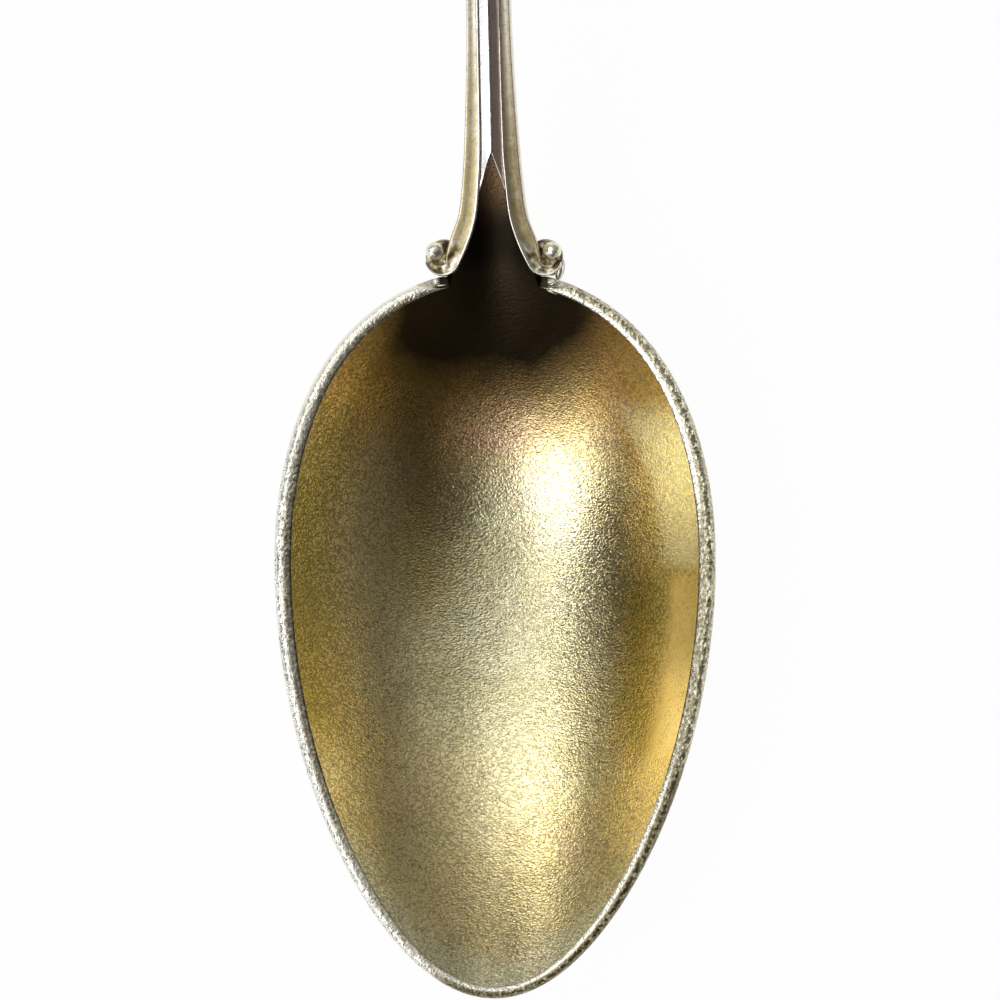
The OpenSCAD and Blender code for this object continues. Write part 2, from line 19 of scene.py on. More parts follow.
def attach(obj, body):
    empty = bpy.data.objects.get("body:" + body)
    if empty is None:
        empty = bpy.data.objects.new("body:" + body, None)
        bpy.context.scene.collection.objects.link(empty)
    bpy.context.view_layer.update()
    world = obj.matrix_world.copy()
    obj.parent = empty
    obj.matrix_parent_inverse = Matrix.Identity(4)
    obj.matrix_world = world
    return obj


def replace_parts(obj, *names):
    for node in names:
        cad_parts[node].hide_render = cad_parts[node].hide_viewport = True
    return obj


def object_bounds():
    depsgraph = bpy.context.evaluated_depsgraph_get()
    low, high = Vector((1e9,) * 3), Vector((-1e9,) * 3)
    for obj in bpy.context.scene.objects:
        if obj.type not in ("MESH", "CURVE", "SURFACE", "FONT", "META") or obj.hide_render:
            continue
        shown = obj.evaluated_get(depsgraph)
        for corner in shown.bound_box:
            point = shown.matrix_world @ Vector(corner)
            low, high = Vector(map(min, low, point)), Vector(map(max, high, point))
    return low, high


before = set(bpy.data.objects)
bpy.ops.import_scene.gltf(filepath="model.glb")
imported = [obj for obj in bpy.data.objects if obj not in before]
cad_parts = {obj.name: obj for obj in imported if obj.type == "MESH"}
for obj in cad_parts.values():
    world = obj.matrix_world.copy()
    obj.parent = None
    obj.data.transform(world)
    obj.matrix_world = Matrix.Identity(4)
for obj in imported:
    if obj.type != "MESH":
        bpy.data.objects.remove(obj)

CAD_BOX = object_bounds()
MM = 0.001
TINY = 1e-9
Array = np.ndarray
Colour = tuple[float, float, float]
Pair = tuple[float, float]
log = logging.getLogger("teaspoon")


class Side(Enum):
    """The two halves of the spoon, with the sign of x on each."""

    LEFT = -1
    RIGHT = 1

    @property
    def word(self) -> str:
        """The word that ends the names of this half's pieces."""
        return self.name.lower()


class Mask(Enum):
    """Painted masks that the meshes carry and the finishes read."""

    # Tarnish, and painted shade at the heel, on the rim's inner side and on the right-hand flutes.
    HOLLOW = "hollow"
    # Wear, and painted highlights on the rim and a painted bright reflection in the bowl.
    WORN = "worn"
    # Warm tint and smooth gold, with a painted reflection on the ridge's right flank and painted black shade
    # in the tongue.
    GOLD = "gold"
    AMBER = "amber"
    ROSE = "rose"
    # Fewer specks and the tongue's mauve, with painted highlights on the rim and a painted bright reflection
    # in the bowl.
    CLEAN = "clean"
    # Painted darkening of the bowl's walls, with a painted dark reflection band on the right wall.
    DUSK = "dusk"


Masks = Mapping[Mask, Array]


def lerp(a: Any, b: Any, t: Any) -> Any:
    """Return the value a share t of the way from a to b."""
    return a + (b - a) * t


def smooth_step(low: float, high: float, x: Array) -> Array:
    """Return 0 below low, 1 above high and a smooth rise between them."""
    t = np.clip((x - low) / (high - low), 0, 1)
    return t * t * (3 - 2 * t)


def bell(middle: float, wide: float, x: Array) -> Array:
    """Return 1 at the middle and a smooth fall to both sides."""
    return np.exp(-((x - middle) / wide) ** 2)


def raised(flat: Array, z: Array) -> Array:
    """Return places seen from above with their heights added."""
    return np.concatenate([flat, z[..., None]], -1)


def soft_min(a: Array, b: Array, reach: float) -> Array:
    """Return the smaller of two heights, with a round joint where they are within reach of each other."""
    return np.minimum(a, b) - np.maximum(reach - np.abs(a - b), 0) ** 2 / (4 * reach)


def through(rows: Sequence[Sequence[float]], x: Array, column: int = 1) -> Array:
    """Read a smooth curve through a table's rows, carried on straight past its ends.

    Args:
        rows: The table, with the places in its first column.
        x: Where the curve is read.
        column: The column that the curve goes through.

    Returns:
        The curve's values, one for each place.
    """
    table = np.asarray(rows, float)
    xs, ys = table[:, 0], table[:, column]
    slopes = np.empty_like(ys)
    slopes[1:-1] = (ys[2:] - ys[:-2]) / (xs[2:] - xs[:-2])
    slopes[0] = (ys[1] - ys[0]) / (xs[1] - xs[0])
    slopes[-1] = (ys[-1] - ys[-2]) / (xs[-1] - xs[-2])
    x = np.asarray(x, float)
    i = np.clip(np.searchsorted(xs, x, side="right") - 1, 0, len(xs) - 2)
    h = xs[i + 1] - xs[i]
    u = (x - xs[i]) / h
    a, b, m, n = ys[i], ys[i + 1], slopes[i] * h, slopes[i + 1] * h
    inside = a + m * u + (3 * (b - a) - 2 * m - n) * u**2 + (2 * (a - b) + m + n) * u**3
    return np.where(u < 0, a + m * u, np.where(u > 1, b + n * (u - 1), inside))


def bend(a: Array, leave: Array, b: Array, arrive: Array, t: Array) -> Array:
    """Return points on the cubic curve from a to b that leaves and arrives along the given pulls."""
    t = np.asarray(t, float)[:, None]
    s = 1 - t
    return s**3 * a + 3 * s * s * t * (a + leave) + 3 * s * t * t * (b - arrive) + t**3 * b


def around(centre: Array, radius: Any, degrees: Array) -> Array:
    """Return points on a circle in the plane, counted from +x."""
    turn = np.radians(degrees)
    return np.asarray(centre) + np.stack([radius * np.cos(turn), radius * np.sin(turn)], -1)


@dataclass(frozen=True)
class Lumps:
    """Smooth noise over a mesh: its lumps' size in metres, its seed and how many finer layers it has."""

    size: float
    seed: float
    octaves: int

    def over(self, points: Array, moved: float = 0.0) -> Array:
        """Return the noise, from about -1 to 1, over a grid of points.

        Args:
            points: Places in metres, in an array whose last axis holds x, y and z.
            moved: Added to the seed, so that the two sides don't share the noise.

        Returns:
            One number for each point.
        """
        flat = points.reshape(-1, 3) / self.size + (self.seed + moved)
        # Each finer layer has lumps half as large and half as high.
        values = [noise.fractal(p, 1.0, 2.0, self.octaves) for p in flat.tolist()]
        return np.array(values).reshape(points.shape[:-1])


def blank_masks(grid: Array) -> Masks:
    """Return masks that paint nothing on a grid of points."""
    blank = np.zeros(grid.shape[:2])
    return {Mask.HOLLOW: blank, Mask.WORN: blank}


class Patch:
    """A painted area: a product of smooth steps, each over one coordinate of the places."""

    def __init__(self, *steps: tuple[str, float, float], strength: float = 1.0) -> None:
        """Keep the steps.

        Args:
            steps: Each step's coordinate, where the area is still absent and where it is full.
            strength: How strong the area is where every step is full.
        """
        self.steps = steps
        self.strength = strength

    def over(self, places: Mapping[str, Array]) -> Array:
        """Return the area's strength at every place, from the places' coordinates."""
        steps = [smooth_step(none, full, places[name]) for name, none, full in self.steps]
        return self.strength * math.prod(steps)


@dataclass(frozen=True)
class Lines:
    """The spoon's driving sizes, and the curves that its pieces share, in metres from the bowl's tip."""

    # The spoon and its bowl.
    overall_len: float = 0.148
    bowl_w: float = 0.030
    tip_len: float = 0.0297
    heel_len: float = 0.0196
    bowl_h: float = 0.0086
    rim_sheer: float = 0.0005
    wall: float = 0.001
    edge_side: float = 0.00115
    edge_tip: float = 0.0008
    edge_heel: float = 0.00085
    tip_pinch: float = 0.11
    heel_fullness: float = 0.1
    hollow_power: float = 2.4
    gilt_t: float = 0.0001
    rim_h: float = 0.00055

    # The tongue.
    tongue_len: float = 0.0078
    tongue_slope: float = 0.4
    tongue_dip: float = 0.0004
    tongue_lift: float = 0.0115
    tongue_blend: float = 0.002

    # The stem, its wires, its scrolls and the handle.
    stem_w: float = 0.0029
    neck_under: float = 0.00054
    neck_sink: float = 0.0003
    arch_rise: float = 0.0129
    edge_wire_w: float = 0.0008
    edge_wire_h: float = 0.00075
    ridge_h: float = 0.00085
    ridge_fall: float = 0.47
    ridge_soft: float = 0.0001
    scroll_r: float = 0.00122
    scroll_spread: float = 0.0069
    plate_t: float = 0.0008
    ball_r: float = 0.00068
    handle_w: float = 0.0188
    handle_t: float = 0.0012
    level_len: float = 0.008
    crest_r: float = 0.00085

    # The solder's seam, and a short step that finds a slope.
    seam: float = 0.000025
    probe: float = 0.0005

    # The places and shapes of the scrolls and their balls, and the wire's way to the stem.
    scroll_gap_share: float = 0.62
    scroll_start: float = 210.0
    scroll_start_share: float = 0.8
    scroll_end_share: float = 0.38
    ball_angle: float = 45.0
    ball_reach_share: float = 0.62
    ball_lift_share: float = 0.6
    join_share: float = 2.66
    inner_pull_share: float = 1.1
    outer_pull_share: float = 1.6
    outer_lean_share: float = 0.15
    beside_scroll_deg: Pair = (235.0, 214.0)
    cap_share: float = 0.909

    # Half the stem's width: a share of its length, of half stem_w and of half handle_w.
    width_shares: tuple = (
        (0, 1.64, 0), (0.008, 1.87, 0), (0.016, 1.95, 0), (0.022, 1.9, 0), (0.03, 1.7, 0), (0.041, 1.538, 0),
        (0.058, 1.4, 0), (0.078, 1.29, 0), (0.116, 1.145, 0), (0.15, 1.048, 0), (0.184, 1.007, 0),
        (0.26, 1, 0), (0.36, 1, 0.016), (0.462, 0.98, 0.072), (0.564, 0.85, 0.188),
        (0.665, 0.6, 0.418), (0.767, 0.28, 0.744), (0.848, 0.07, 0.946), (0.909, 0, 1))

    # The arch: a share of the way to the level end and of the rise. The last row lies past that end.
    arch_shares: tuple = (
        (0, 0), (0.033, 0.063), (0.085, 0.175), (0.139, 0.316), (0.201, 0.478), (0.283, 0.685),
        (0.393, 0.907), (0.481, 0.998), (0.581, 0.96), (0.691, 0.703), (0.779, 0.422), (0.857, 0.196),
        (0.912, 0.077), (0.956, 0.02), (1, 0), (1.044, 0.02))

    # How far the bar has thinned: a share of the stem's length and of the thinning.
    thin_shares: tuple = (
        (0, 0), (0.03, 0.13), (0.078, 0.3), (0.2, 0.52), (0.4, 0.65), (0.6, 0.78), (0.8, 0.93), (0.9, 1),
        (1, 1))

    # The edge wires' width: a share of the stem's length and of edge_wire_w.
    wire_shares: tuple = (
        (0.041, 1.54), (0.058, 1.475), (0.078, 1.44), (0.116, 1.225), (0.15, 1.06), (0.184, 1), (0.36, 1),
        (0.56, 1.08), (0.767, 1.18), (0.909, 1.2), (1, 1.2))

    @property
    def heel_y(self) -> float:
        """Where the bowl's outline would close."""
        return self.tip_len + self.heel_len

    @property
    def apex_y(self) -> float:
        """Where the tongue ends in its point."""
        return self.heel_y + self.tongue_len

    @property
    def scroll_centre(self) -> Array:
        """Centre of the right-hand scroll."""
        return np.array([self.scroll_spread / 2, self.heel_y + self.scroll_r * self.scroll_gap_share])

    @property
    def ball_centre(self) -> Array:
        """Centre of the right-hand scroll's ball, seen from above."""
        return around(self.scroll_centre, self.scroll_r * self.ball_reach_share, np.array(self.ball_angle))

    @property
    def stem_y(self) -> float:
        """Where the stem's bar starts, beside the scrolls."""
        return self.scroll_centre[1] - self.scroll_r / 2

    @property
    def join_y(self) -> float:
        """Where the edge wires reach the stem's own side lines."""
        return self.scroll_centre[1] + self.scroll_r * self.join_share

    @property
    def stem_len(self) -> float:
        """Length of the stem, from beside the scrolls to the handle's end."""
        return self.overall_len - self.stem_y

    @property
    def cap_y(self) -> float:
        """Where the handle's rounded end starts."""
        return self.stem_y + self.stem_len * self.cap_share

    def stem_share(self, y: Array) -> Array:
        """Return the share of the stem's length at a place y."""
        return (y - self.stem_y) / self.stem_len

    def bar_top_z(self, y: Array) -> Array:
        """Return the height of the bar's top."""
        stem_z = self.bowl_h + self.rim_sheer - self.neck_sink
        level_y = self.overall_len - self.level_len
        u = np.minimum(1, (y - self.stem_y) / (level_y - self.stem_y))
        slope = self.handle_t + (stem_z - self.handle_t) * (1 - u) ** 2 * (1 + u)
        return slope + self.arch_rise * through(self.arch_shares, u)

    def bar_rise(self, y: Array) -> Array:
        """Return the slope of the bar's top."""
        return (self.bar_top_z(y + self.probe) - self.bar_top_z(y - self.probe)) / (2 * self.probe)

    def bar_thick(self, y: Array) -> Array:
        """Return the thickness of the bar."""
        neck = self.bar_top_z(self.stem_y) - self.trough_z(np.array([0, self.stem_y])) + self.seam
        thinned = np.minimum(1, through(self.thin_shares, self.stem_share(y)))
        return lerp(neck + self.neck_under, self.handle_t, thinned)

    def bar_half(self, y: Array) -> Array:
        """Return half the stem's width."""
        s = np.minimum(self.stem_share(y), self.cap_share)
        narrow = self.stem_w / 2 * through(self.width_shares, s, 1)
        return narrow + self.handle_w / 2 * through(self.width_shares, s, 2)

    def wire_wide(self, y: Array) -> Array:
        """Return the width of an edge wire."""
        return self.edge_wire_w * through(self.wire_shares, self.stem_share(y))

    def wire_inner(self, y: Array) -> Array:
        """Return how far an edge wire's inner side lies from the middle."""
        return self.bar_half(y) - self.wire_wide(y)

    def outline(self, degrees: Array, half_w: float, tip: float, heel: float) -> Array:
        """Return points on one of the bowl's outlines, at angles from 0 at the tip to 180 at the heel."""
        turn = np.radians(degrees)
        c = np.cos(turn)
        full = 1 + np.where(c > 0, -self.tip_pinch, self.heel_fullness) * c * c
        return np.stack([half_w * np.sin(turn) * full, self.tip_len - np.where(c > 0, tip, heel) * c], -1)

    def inner_edge(self, degrees: Array) -> Array:
        """Return points on the inner line of the bowl's edge."""
        return self.outline(degrees, *self.inner_sizes)

    def outer_edge(self, degrees: Array) -> Array:
        """Return points on the outer line of the bowl's edge."""
        return self.outline(degrees, *self.outer_sizes)

    @property
    def inner_sizes(self) -> tuple[float, float, float]:
        """Half width, tip length and heel length of the inner outline."""
        return self.bowl_w / 2 - self.edge_side, self.tip_len - self.edge_tip, self.heel_len - self.edge_heel

    @property
    def outer_sizes(self) -> tuple[float, float, float]:
        """Half width, tip length and heel length of the outer outline."""
        return self.bowl_w / 2, self.tip_len, self.heel_len

    def dish_z(self, p: Array, low: float, half_w: float, tip: float, heel: float) -> Array:
        """Return the height of a dish that meets the bowl's edge on the given outline.

        Args:
            p: Places, with x and y on the last axis.
            low: Height of the dish's lowest place.
            half_w: Half width of the outline.
            tip: Length of the outline from its widest line to the tip.
            heel: Length of the outline from its widest line to the heel.

        Returns:
            One height for each place.
        """
        front = p[..., 1] < self.tip_len
        x = p[..., 0] / half_w
        v = (p[..., 1] - self.tip_len) / np.where(front, tip, heel)
        fuller = np.where(front, -self.tip_pinch, self.heel_fullness)
        reach = np.maximum(x * x + v * v, TINY)
        for _ in range(5):
            reach = (x / (1 + fuller * np.minimum(1, v * v / np.maximum(reach, TINY)))) ** 2 + v * v
        reach = np.maximum(reach, TINY)
        edge_z = self.bowl_h + self.rim_sheer * np.minimum(1, v * v / reach)
        return low + (edge_z - low) * reach ** (self.hollow_power / 2)

    def tongue_z(self, p: Array) -> Array:
        """Return the height of the tongue's floor."""
        apex_z = self.bar_top_z(self.apex_y) + self.seam + self.ridge_h
        across = self.tongue_dip * (2 * p[..., 0] / self.stem_w) ** 2
        lift = self.tongue_lift * (np.maximum(0, self.heel_y - p[..., 1]) / self.heel_len) ** 2
        return apex_z - self.tongue_slope * (self.apex_y - p[..., 1]) + across + lift

    def shell_top_z(self, p: Array) -> Array:
        """Return the height of the silver under the gold."""
        dish = self.dish_z(p, self.wall, *self.inner_sizes)
        return soft_min(dish, self.tongue_z(p) - self.gilt_t, self.tongue_blend)

    def shell_under_z(self, p: Array) -> Array:
        """Return the height of the bowl's back."""
        tongue = self.tongue_z(p) - self.gilt_t - self.wall
        return soft_min(self.dish_z(p, 0, *self.outer_sizes), tongue, self.tongue_blend)

    def trough_z(self, p: Array) -> Array:
        """Return the height of the trough in the bar, which the tongue lies in."""
        return np.minimum(self.shell_under_z(p) - 2 * self.seam, self.bar_top_z(p[..., 1]) - self.seam)

    @property
    def scroll_end(self) -> float:
        """Angle at which the scroll's wire ends against its ball."""
        mid = self.scroll_r * (1 - self.scroll_end_share)
        reach = self.scroll_r * self.ball_reach_share
        clear = self.ball_r + 3 * self.seam
        share = (mid**2 + reach**2 - clear**2) / (2 * mid * reach)
        return self.ball_angle + 360 - math.degrees(math.acos(min(1, max(-1, share))))

    def scroll_pair(self, degrees: Array) -> tuple[Array, Array]:
        """Return the outer and the inner line of the scroll's wire at the given angles."""
        t = (degrees - self.scroll_start) / (self.scroll_end - self.scroll_start)
        wide = self.scroll_r * lerp(self.scroll_start_share, self.scroll_end_share, t)
        centre = self.scroll_centre
        return around(centre, self.scroll_r, degrees), around(centre, self.scroll_r - wide, degrees)

    def stem_pair(self, y: Array) -> tuple[Array, Array]:
        """Return the inner and the outer line of the edge wire along the stem."""
        return np.stack([self.wire_inner(y), y], -1), np.stack([self.bar_half(y), y], -1)

    def join_pair(self, t: Array) -> tuple[Array, Array]:
        """Return the edge wire's two lines between its scroll, at t = 0, and the stem, at t = 1."""
        start = self.scroll_pair(np.array(self.scroll_start))
        end = self.stem_pair(np.array(self.join_y))
        after = self.stem_pair(np.array(self.join_y + self.probe))
        straight_on = np.array(self.scroll_start - 90)
        inner_pull = around(np.zeros(2), self.scroll_r * self.inner_pull_share, straight_on)
        outer_pull = np.array([-self.outer_lean_share, 1]) * self.scroll_r * self.outer_pull_share
        step = self.scroll_r / self.probe
        inner = bend(start[0], inner_pull, end[0], (after[0] - end[0]) * step, t)
        outer = bend(start[1], outer_pull, end[1], (after[1] - end[1]) * step, t)
        return inner, outer

    def cap_pair(self, degrees: Array) -> tuple[Array, Array]:
        """Return the edge wire's two lines round the handle's end."""
        wide = self.wire_wide(np.array(self.cap_y))
        cap_len = self.overall_len - self.cap_y
        turn = np.radians(degrees)
        c, s = np.cos(turn), np.sin(turn)
        half = self.handle_w / 2
        inner = np.stack([(half - wide) * c, self.cap_y + (cap_len - wide) * s], -1)
        return inner, np.stack([half * c, self.cap_y + cap_len * s], -1)

    def notch_y(self, x: Array) -> Array:
        """Return where the tongue's point meets the ridge, at a place x."""
        return self.apex_y - np.abs(x) * self.ridge_fall / (self.tongue_slope - self.bar_rise(self.apex_y))

    def tongue_edge(self) -> Array:
        """Return the tongue's right-hand edge, from the rim's end up to beside its point."""
        foot = np.array(self.apex_y)
        for _ in range(6):
            foot = self.notch_y(self.wire_inner(foot))
        half = float(self.wire_inner(foot))
        turn = np.linspace(*self.beside_scroll_deg, 10)
        beside_scroll = around(self.scroll_centre, self.scroll_r + self.seam, turn)
        beside_join = self.join_pair(np.linspace(0, 1, 24))[0] - [self.seam, 0]
        y = np.linspace(self.join_y, float(foot), 12)[1:]
        beside_stem = np.stack([self.wire_inner(y) - self.seam, y], -1)
        x = half * np.linspace(0.9, 0.1, 9)
        return np.concatenate([beside_scroll, beside_join, beside_stem, np.stack([x, self.notch_y(x)], -1)])


def grid_quads(rows: int, columns: int, start: int) -> Array:
    """Return the quads of a grid whose points are numbered from start, row by row."""
    index = np.arange(rows * columns).reshape(rows, columns) + start
    quads = np.stack([index[:-1, :-1], index[:-1, 1:], index[1:, 1:], index[1:, :-1]], -1)
    return quads.reshape(-1, 4)


def edge_loop(rows: int, columns: int) -> Array:
    """Return the numbers of the points round a grid's edge, in order."""
    index = np.arange(rows * columns).reshape(rows, columns)
    return np.concatenate([index[0, :-1], index[:-1, -1], index[-1, :0:-1], index[:0:-1, 0]])


def placed(name: str, data: bpy.types.ID) -> bpy.types.Object:
    """Return a new object in the scene that shows the given data."""
    made = bpy.data.objects.new(name, data)
    bpy.context.scene.collection.objects.link(made)
    return made


@dataclass
class Bench:
    """Builds the meshes and moves them from the spoon's own layout to the frame."""

    lines: Lines
    body: str = "root"
    sharp_deg: float = 38.0
    round_deg: float = 60.0

    def in_frame(self, points: Array, side: Side = Side.RIGHT) -> Array:
        """Return points in the frame, mirrored for the left-hand side and kept inside the CAD model's box."""
        moved = points * [side.value, 1, 1] - [0, self.lines.overall_len / 2, 0]
        return np.clip(moved, np.array(CAD_BOX[0]), np.array(CAD_BOX[1]))

    def make(
        self,
        name: str,
        points: Array,
        faces: Sequence[Sequence[int]],
        masks: Masks,
        side: Side = Side.RIGHT,
        sharp_deg: float | None = None,
    ) -> bpy.types.Object:
        """Make one closed piece and let it ride with the spoon.

        Args:
            name: The piece's name.
            points: Its points in the spoon's layout.
            faces: Its faces, as numbers of points. Their direction is put right here.
            masks: Painted masks, one number for each point.
            side: The side that the piece is on.
            sharp_deg: Edges that turn more than this stay sharp.

        Returns:
            The new piece.
        """
        mesh = bpy.data.meshes.new(name)
        mesh.from_pydata(self.in_frame(points, side).tolist(), [], [tuple(f) for f in faces])
        for mask, values in masks.items():
            layer = mesh.attributes.new(mask.value, "FLOAT", "POINT")
            layer.data.foreach_set("value", np.clip(values, 0, 1).astype(np.float32).ravel())
        work = bmesh.new()
        work.from_mesh(mesh)
        bmesh.ops.recalc_face_normals(work, faces=work.faces)
        work.to_mesh(mesh)
        work.free()
        mesh.shade_smooth()
        mesh.set_sharp_from_angle(angle=math.radians(sharp_deg or self.sharp_deg))
        piece = placed(name, mesh)
        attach(piece, self.body)
        return piece

    def slab(
        self,
        name: str,
        top: Array,
        under: Array,
        masks: Masks,
        side: Side = Side.RIGHT,
        below: Masks | None = None,
    ) -> bpy.types.Object:
        """Make a closed piece between two grids of points of the same shape.

        Args:
            name: The piece's name.
            top: The upper grid, rows by columns by 3.
            under: The lower grid.
            masks: Painted masks, one grid of numbers each.
            side: The side that the piece is on.
            below: The lower face's masks, where they differ from those of the upper face.

        Returns:
            The new piece.
        """
        rows, columns = top.shape[:2]
        count = rows * columns
        loop = edge_loop(rows, columns)
        after = np.roll(loop, -1)
        band = np.stack([loop, after, after + count, loop + count], -1)
        faces = np.concatenate([grid_quads(rows, columns, 0), grid_quads(rows, columns, count), band])
        lower = below or masks
        doubled = {mask: np.concatenate([masks[mask].ravel(), lower[mask].ravel()]) for mask in masks}
        points = np.concatenate([top.reshape(-1, 3), under.reshape(-1, 3)])
        return self.make(name, points, faces.tolist(), doubled, side)

    def lathe(
        self, name: str, rings: Array, masks: Masks, side: Side = Side.RIGHT, sharp_deg: float | None = None
    ) -> bpy.types.Object:
        """Make a closed piece from rings of points, with a flat face on the first and the last ring.

        Args:
            name: The piece's name.
            rings: Rings by points by 3.
            masks: Painted masks, one grid of numbers each.
            side: The side that the piece is on.
            sharp_deg: Edges that turn more than this stay sharp.

        Returns:
            The new piece.
        """
        count, around_count = rings.shape[:2]
        index = np.arange(count * around_count).reshape(count, around_count)
        after = np.roll(index, -1, axis=1)
        walls = np.stack([index[:-1], after[:-1], after[1:], index[1:]], -1).reshape(-1, 4)
        faces = walls.tolist() + [index[0].tolist(), index[-1].tolist()]
        flat = {mask: values.ravel() for mask, values in masks.items()}
        return self.make(name, rings.reshape(-1, 3), faces, flat, side, sharp_deg)


class Wire:
    """A number socket in a material, which sums and products turn into Math nodes."""

    def __init__(self, sheet: "Sheet", socket: bpy.types.NodeSocket) -> None:
        """Keep the sheet that the socket is on."""
        self.sheet = sheet
        self.socket = socket

    def _math(self, operation: str, *values: Any, clamp: bool = False) -> "Wire":
        """Return the result of one Math node."""
        settings = {"operation": operation, "use_clamp": clamp}
        return self.sheet.wire("ShaderNodeMath", settings, dict(enumerate(values)))

    def __add__(self, other: Any) -> "Wire":
        """Return the sum."""
        return self._math("ADD", self, other)

    def __radd__(self, other: Any) -> "Wire":
        """Return the sum, with the number first."""
        return self._math("ADD", other, self)

    def __sub__(self, other: Any) -> "Wire":
        """Return the difference."""
        return self._math("SUBTRACT", self, other)

    def __rsub__(self, other: Any) -> "Wire":
        """Return the difference, with the number first."""
        return self._math("SUBTRACT", other, self)

    def __mul__(self, other: Any) -> "Wire":
        """Return the product."""
        return self._math("MULTIPLY", self, other)

    def __rmul__(self, other: Any) -> "Wire":
        """Return the product, with the number first."""
        return self._math("MULTIPLY", other, self)

    def __truediv__(self, other: Any) -> "Wire":
        """Return the quotient."""
        return self._math("DIVIDE", self, other)

    def __pow__(self, other: Any) -> "Wire":
        """Return the power."""
        return self._math("POWER", self, other)

    def __abs__(self) -> "Wire":
        """Return the size without its sign."""
        return self._math("ABSOLUTE", self)

    def kept(self) -> "Wire":
        """Return the number held between 0 and 1."""
        return self._math("ADD", self, 0.0, clamp=True)

    def between(self, low: float, high: float) -> "Wire":
        """Return 0 at low, 1 at high and a smooth rise between them."""
        settings = {"interpolation_type": "SMOOTHSTEP"}
        inputs = {"Value": self, "From Min": low, "From Max": high}
        return self.sheet.wire("ShaderNodeMapRange", settings, inputs)


# A noise: the size of its lumps in millimetres, the number of its finer layers, and its seed.
Noise = tuple[float, float, float]


class Sheet:
    """One node tree, with a single way to add each node."""

    def __init__(self, tree: bpy.types.NodeTree) -> None:
        """Start from an empty tree."""
        self.tree = tree
        tree.nodes.clear()

    def node(self, kind: str, settings: Mapping[str, Any], inputs: Mapping[Any, Any]) -> bpy.types.Node:
        """Add a node.

        Args:
            kind: The node's type.
            settings: Its own settings, set first, such as a Math node's operation.
            inputs: What goes into its sockets, by name or number: values, wires or sockets.

        Returns:
            The node.
        """
        made = self.tree.nodes.new(kind)
        for key, value in settings.items():
            setattr(made, key, value)
        for key, value in inputs.items():
            socket = made.inputs[key]
            if isinstance(value, Wire):
                self.tree.links.new(value.socket, socket)
            elif isinstance(value, bpy.types.NodeSocket):
                self.tree.links.new(value, socket)
            elif isinstance(value, tuple) and len(value) == 3 and socket.type == "RGBA":
                socket.default_value = (*value, 1)
            else:
                socket.default_value = value
        return made

    def wire(
        self, kind: str, settings: Mapping[str, Any], inputs: Mapping[Any, Any], output: Any = 0
    ) -> Wire:
        """Add a node and return one of its outputs as a number."""
        return Wire(self, self.node(kind, settings, inputs).outputs[output])

    def colour(self, share: Any, first: Any, second: Any) -> bpy.types.NodeSocket:
        """Return a mix of two colours.

        Args:
            share: How much of the second colour is used.
            first: The first colour, as a value or a socket.
            second: The second colour.

        Returns:
            The mixed colour's socket.
        """
        settings = {"data_type": "RGBA", "clamp_factor": True}
        return self.node("ShaderNodeMix", settings, {0: share, 6: first, 7: second}).outputs[2]

    def vector(self, operation: str, first: Any, second: Any, output: Any = 0) -> bpy.types.NodeSocket:
        """Return one output of a Vector Math node."""
        made = self.node("ShaderNodeVectorMath", {"operation": operation}, {0: first, 1: second})
        return made.outputs[output]

    def place(self, stretch: Colour, seed: float) -> bpy.types.NodeSocket:
        """Return the place on the object in millimetres, stretched and moved."""
        spot = self.node("ShaderNodeTexCoord", {}, {}).outputs["Object"]
        scaled = self.vector("MULTIPLY", spot, tuple(s / MM for s in stretch))
        return self.vector("ADD", scaled, (seed, seed, seed))

    def clouds(self, size_mm: float, detail: float, seed: float, stretch: Colour = (1, 1, 1)) -> Wire:
        """Return noise between 0 and 1.

        Args:
            size_mm: Size of one lump.
            detail: How many finer layers are added.
            seed: Moves the noise.
            stretch: Scales of the three axes.

        Returns:
            The noise.
        """
        inputs = {"Vector": self.place(stretch, seed), "Scale": 1 / size_mm, "Detail": detail}
        return self.wire("ShaderNodeTexNoise", {}, inputs)

    def drift(self, noise: Noise, spread: float) -> Wire:
        """Return noise that sways round 0 by half the spread to each side."""
        return (self.clouds(*noise) - 0.5) * spread

    def bump(self, height: Wire) -> bpy.types.NodeSocket:
        """Return the surface's direction under a relief, whose height is given in millimetres."""
        return self.node("ShaderNodeBump", {}, {"Strength": 1.0, "Distance": MM, "Height": height}).outputs[0]

    def mask(self, mask: Mask) -> Wire:
        """Return a painted mask of the mesh."""
        return self.wire("ShaderNodeAttribute", {"attribute_name": mask.value}, {}, "Fac")


class Finish:
    """A finish that makes one material, once for each spoon."""

    name = "finish"

    def metal(self, sheet: Sheet) -> dict[str, Any]:
        """Return what goes into the metal shader's sockets."""
        raise NotImplementedError

    def material(self) -> bpy.types.Material:
        """Return the material, made on first use."""
        if self.name in bpy.data.materials:
            return bpy.data.materials[self.name]
        made = bpy.data.materials.new(self.name)
        made.use_nodes = True
        sheet = Sheet(made.node_tree)
        shader = sheet.node("ShaderNodeBsdfPrincipled", {}, self.metal(sheet))
        sheet.node("ShaderNodeOutputMaterial", {}, {"Surface": shader.outputs[0]})
        return made

    def dress(self, piece: bpy.types.Object, slot: str) -> None:
        """Give a piece this finish."""
        piece.data.materials.clear()
        piece.data.materials.append(self.material())


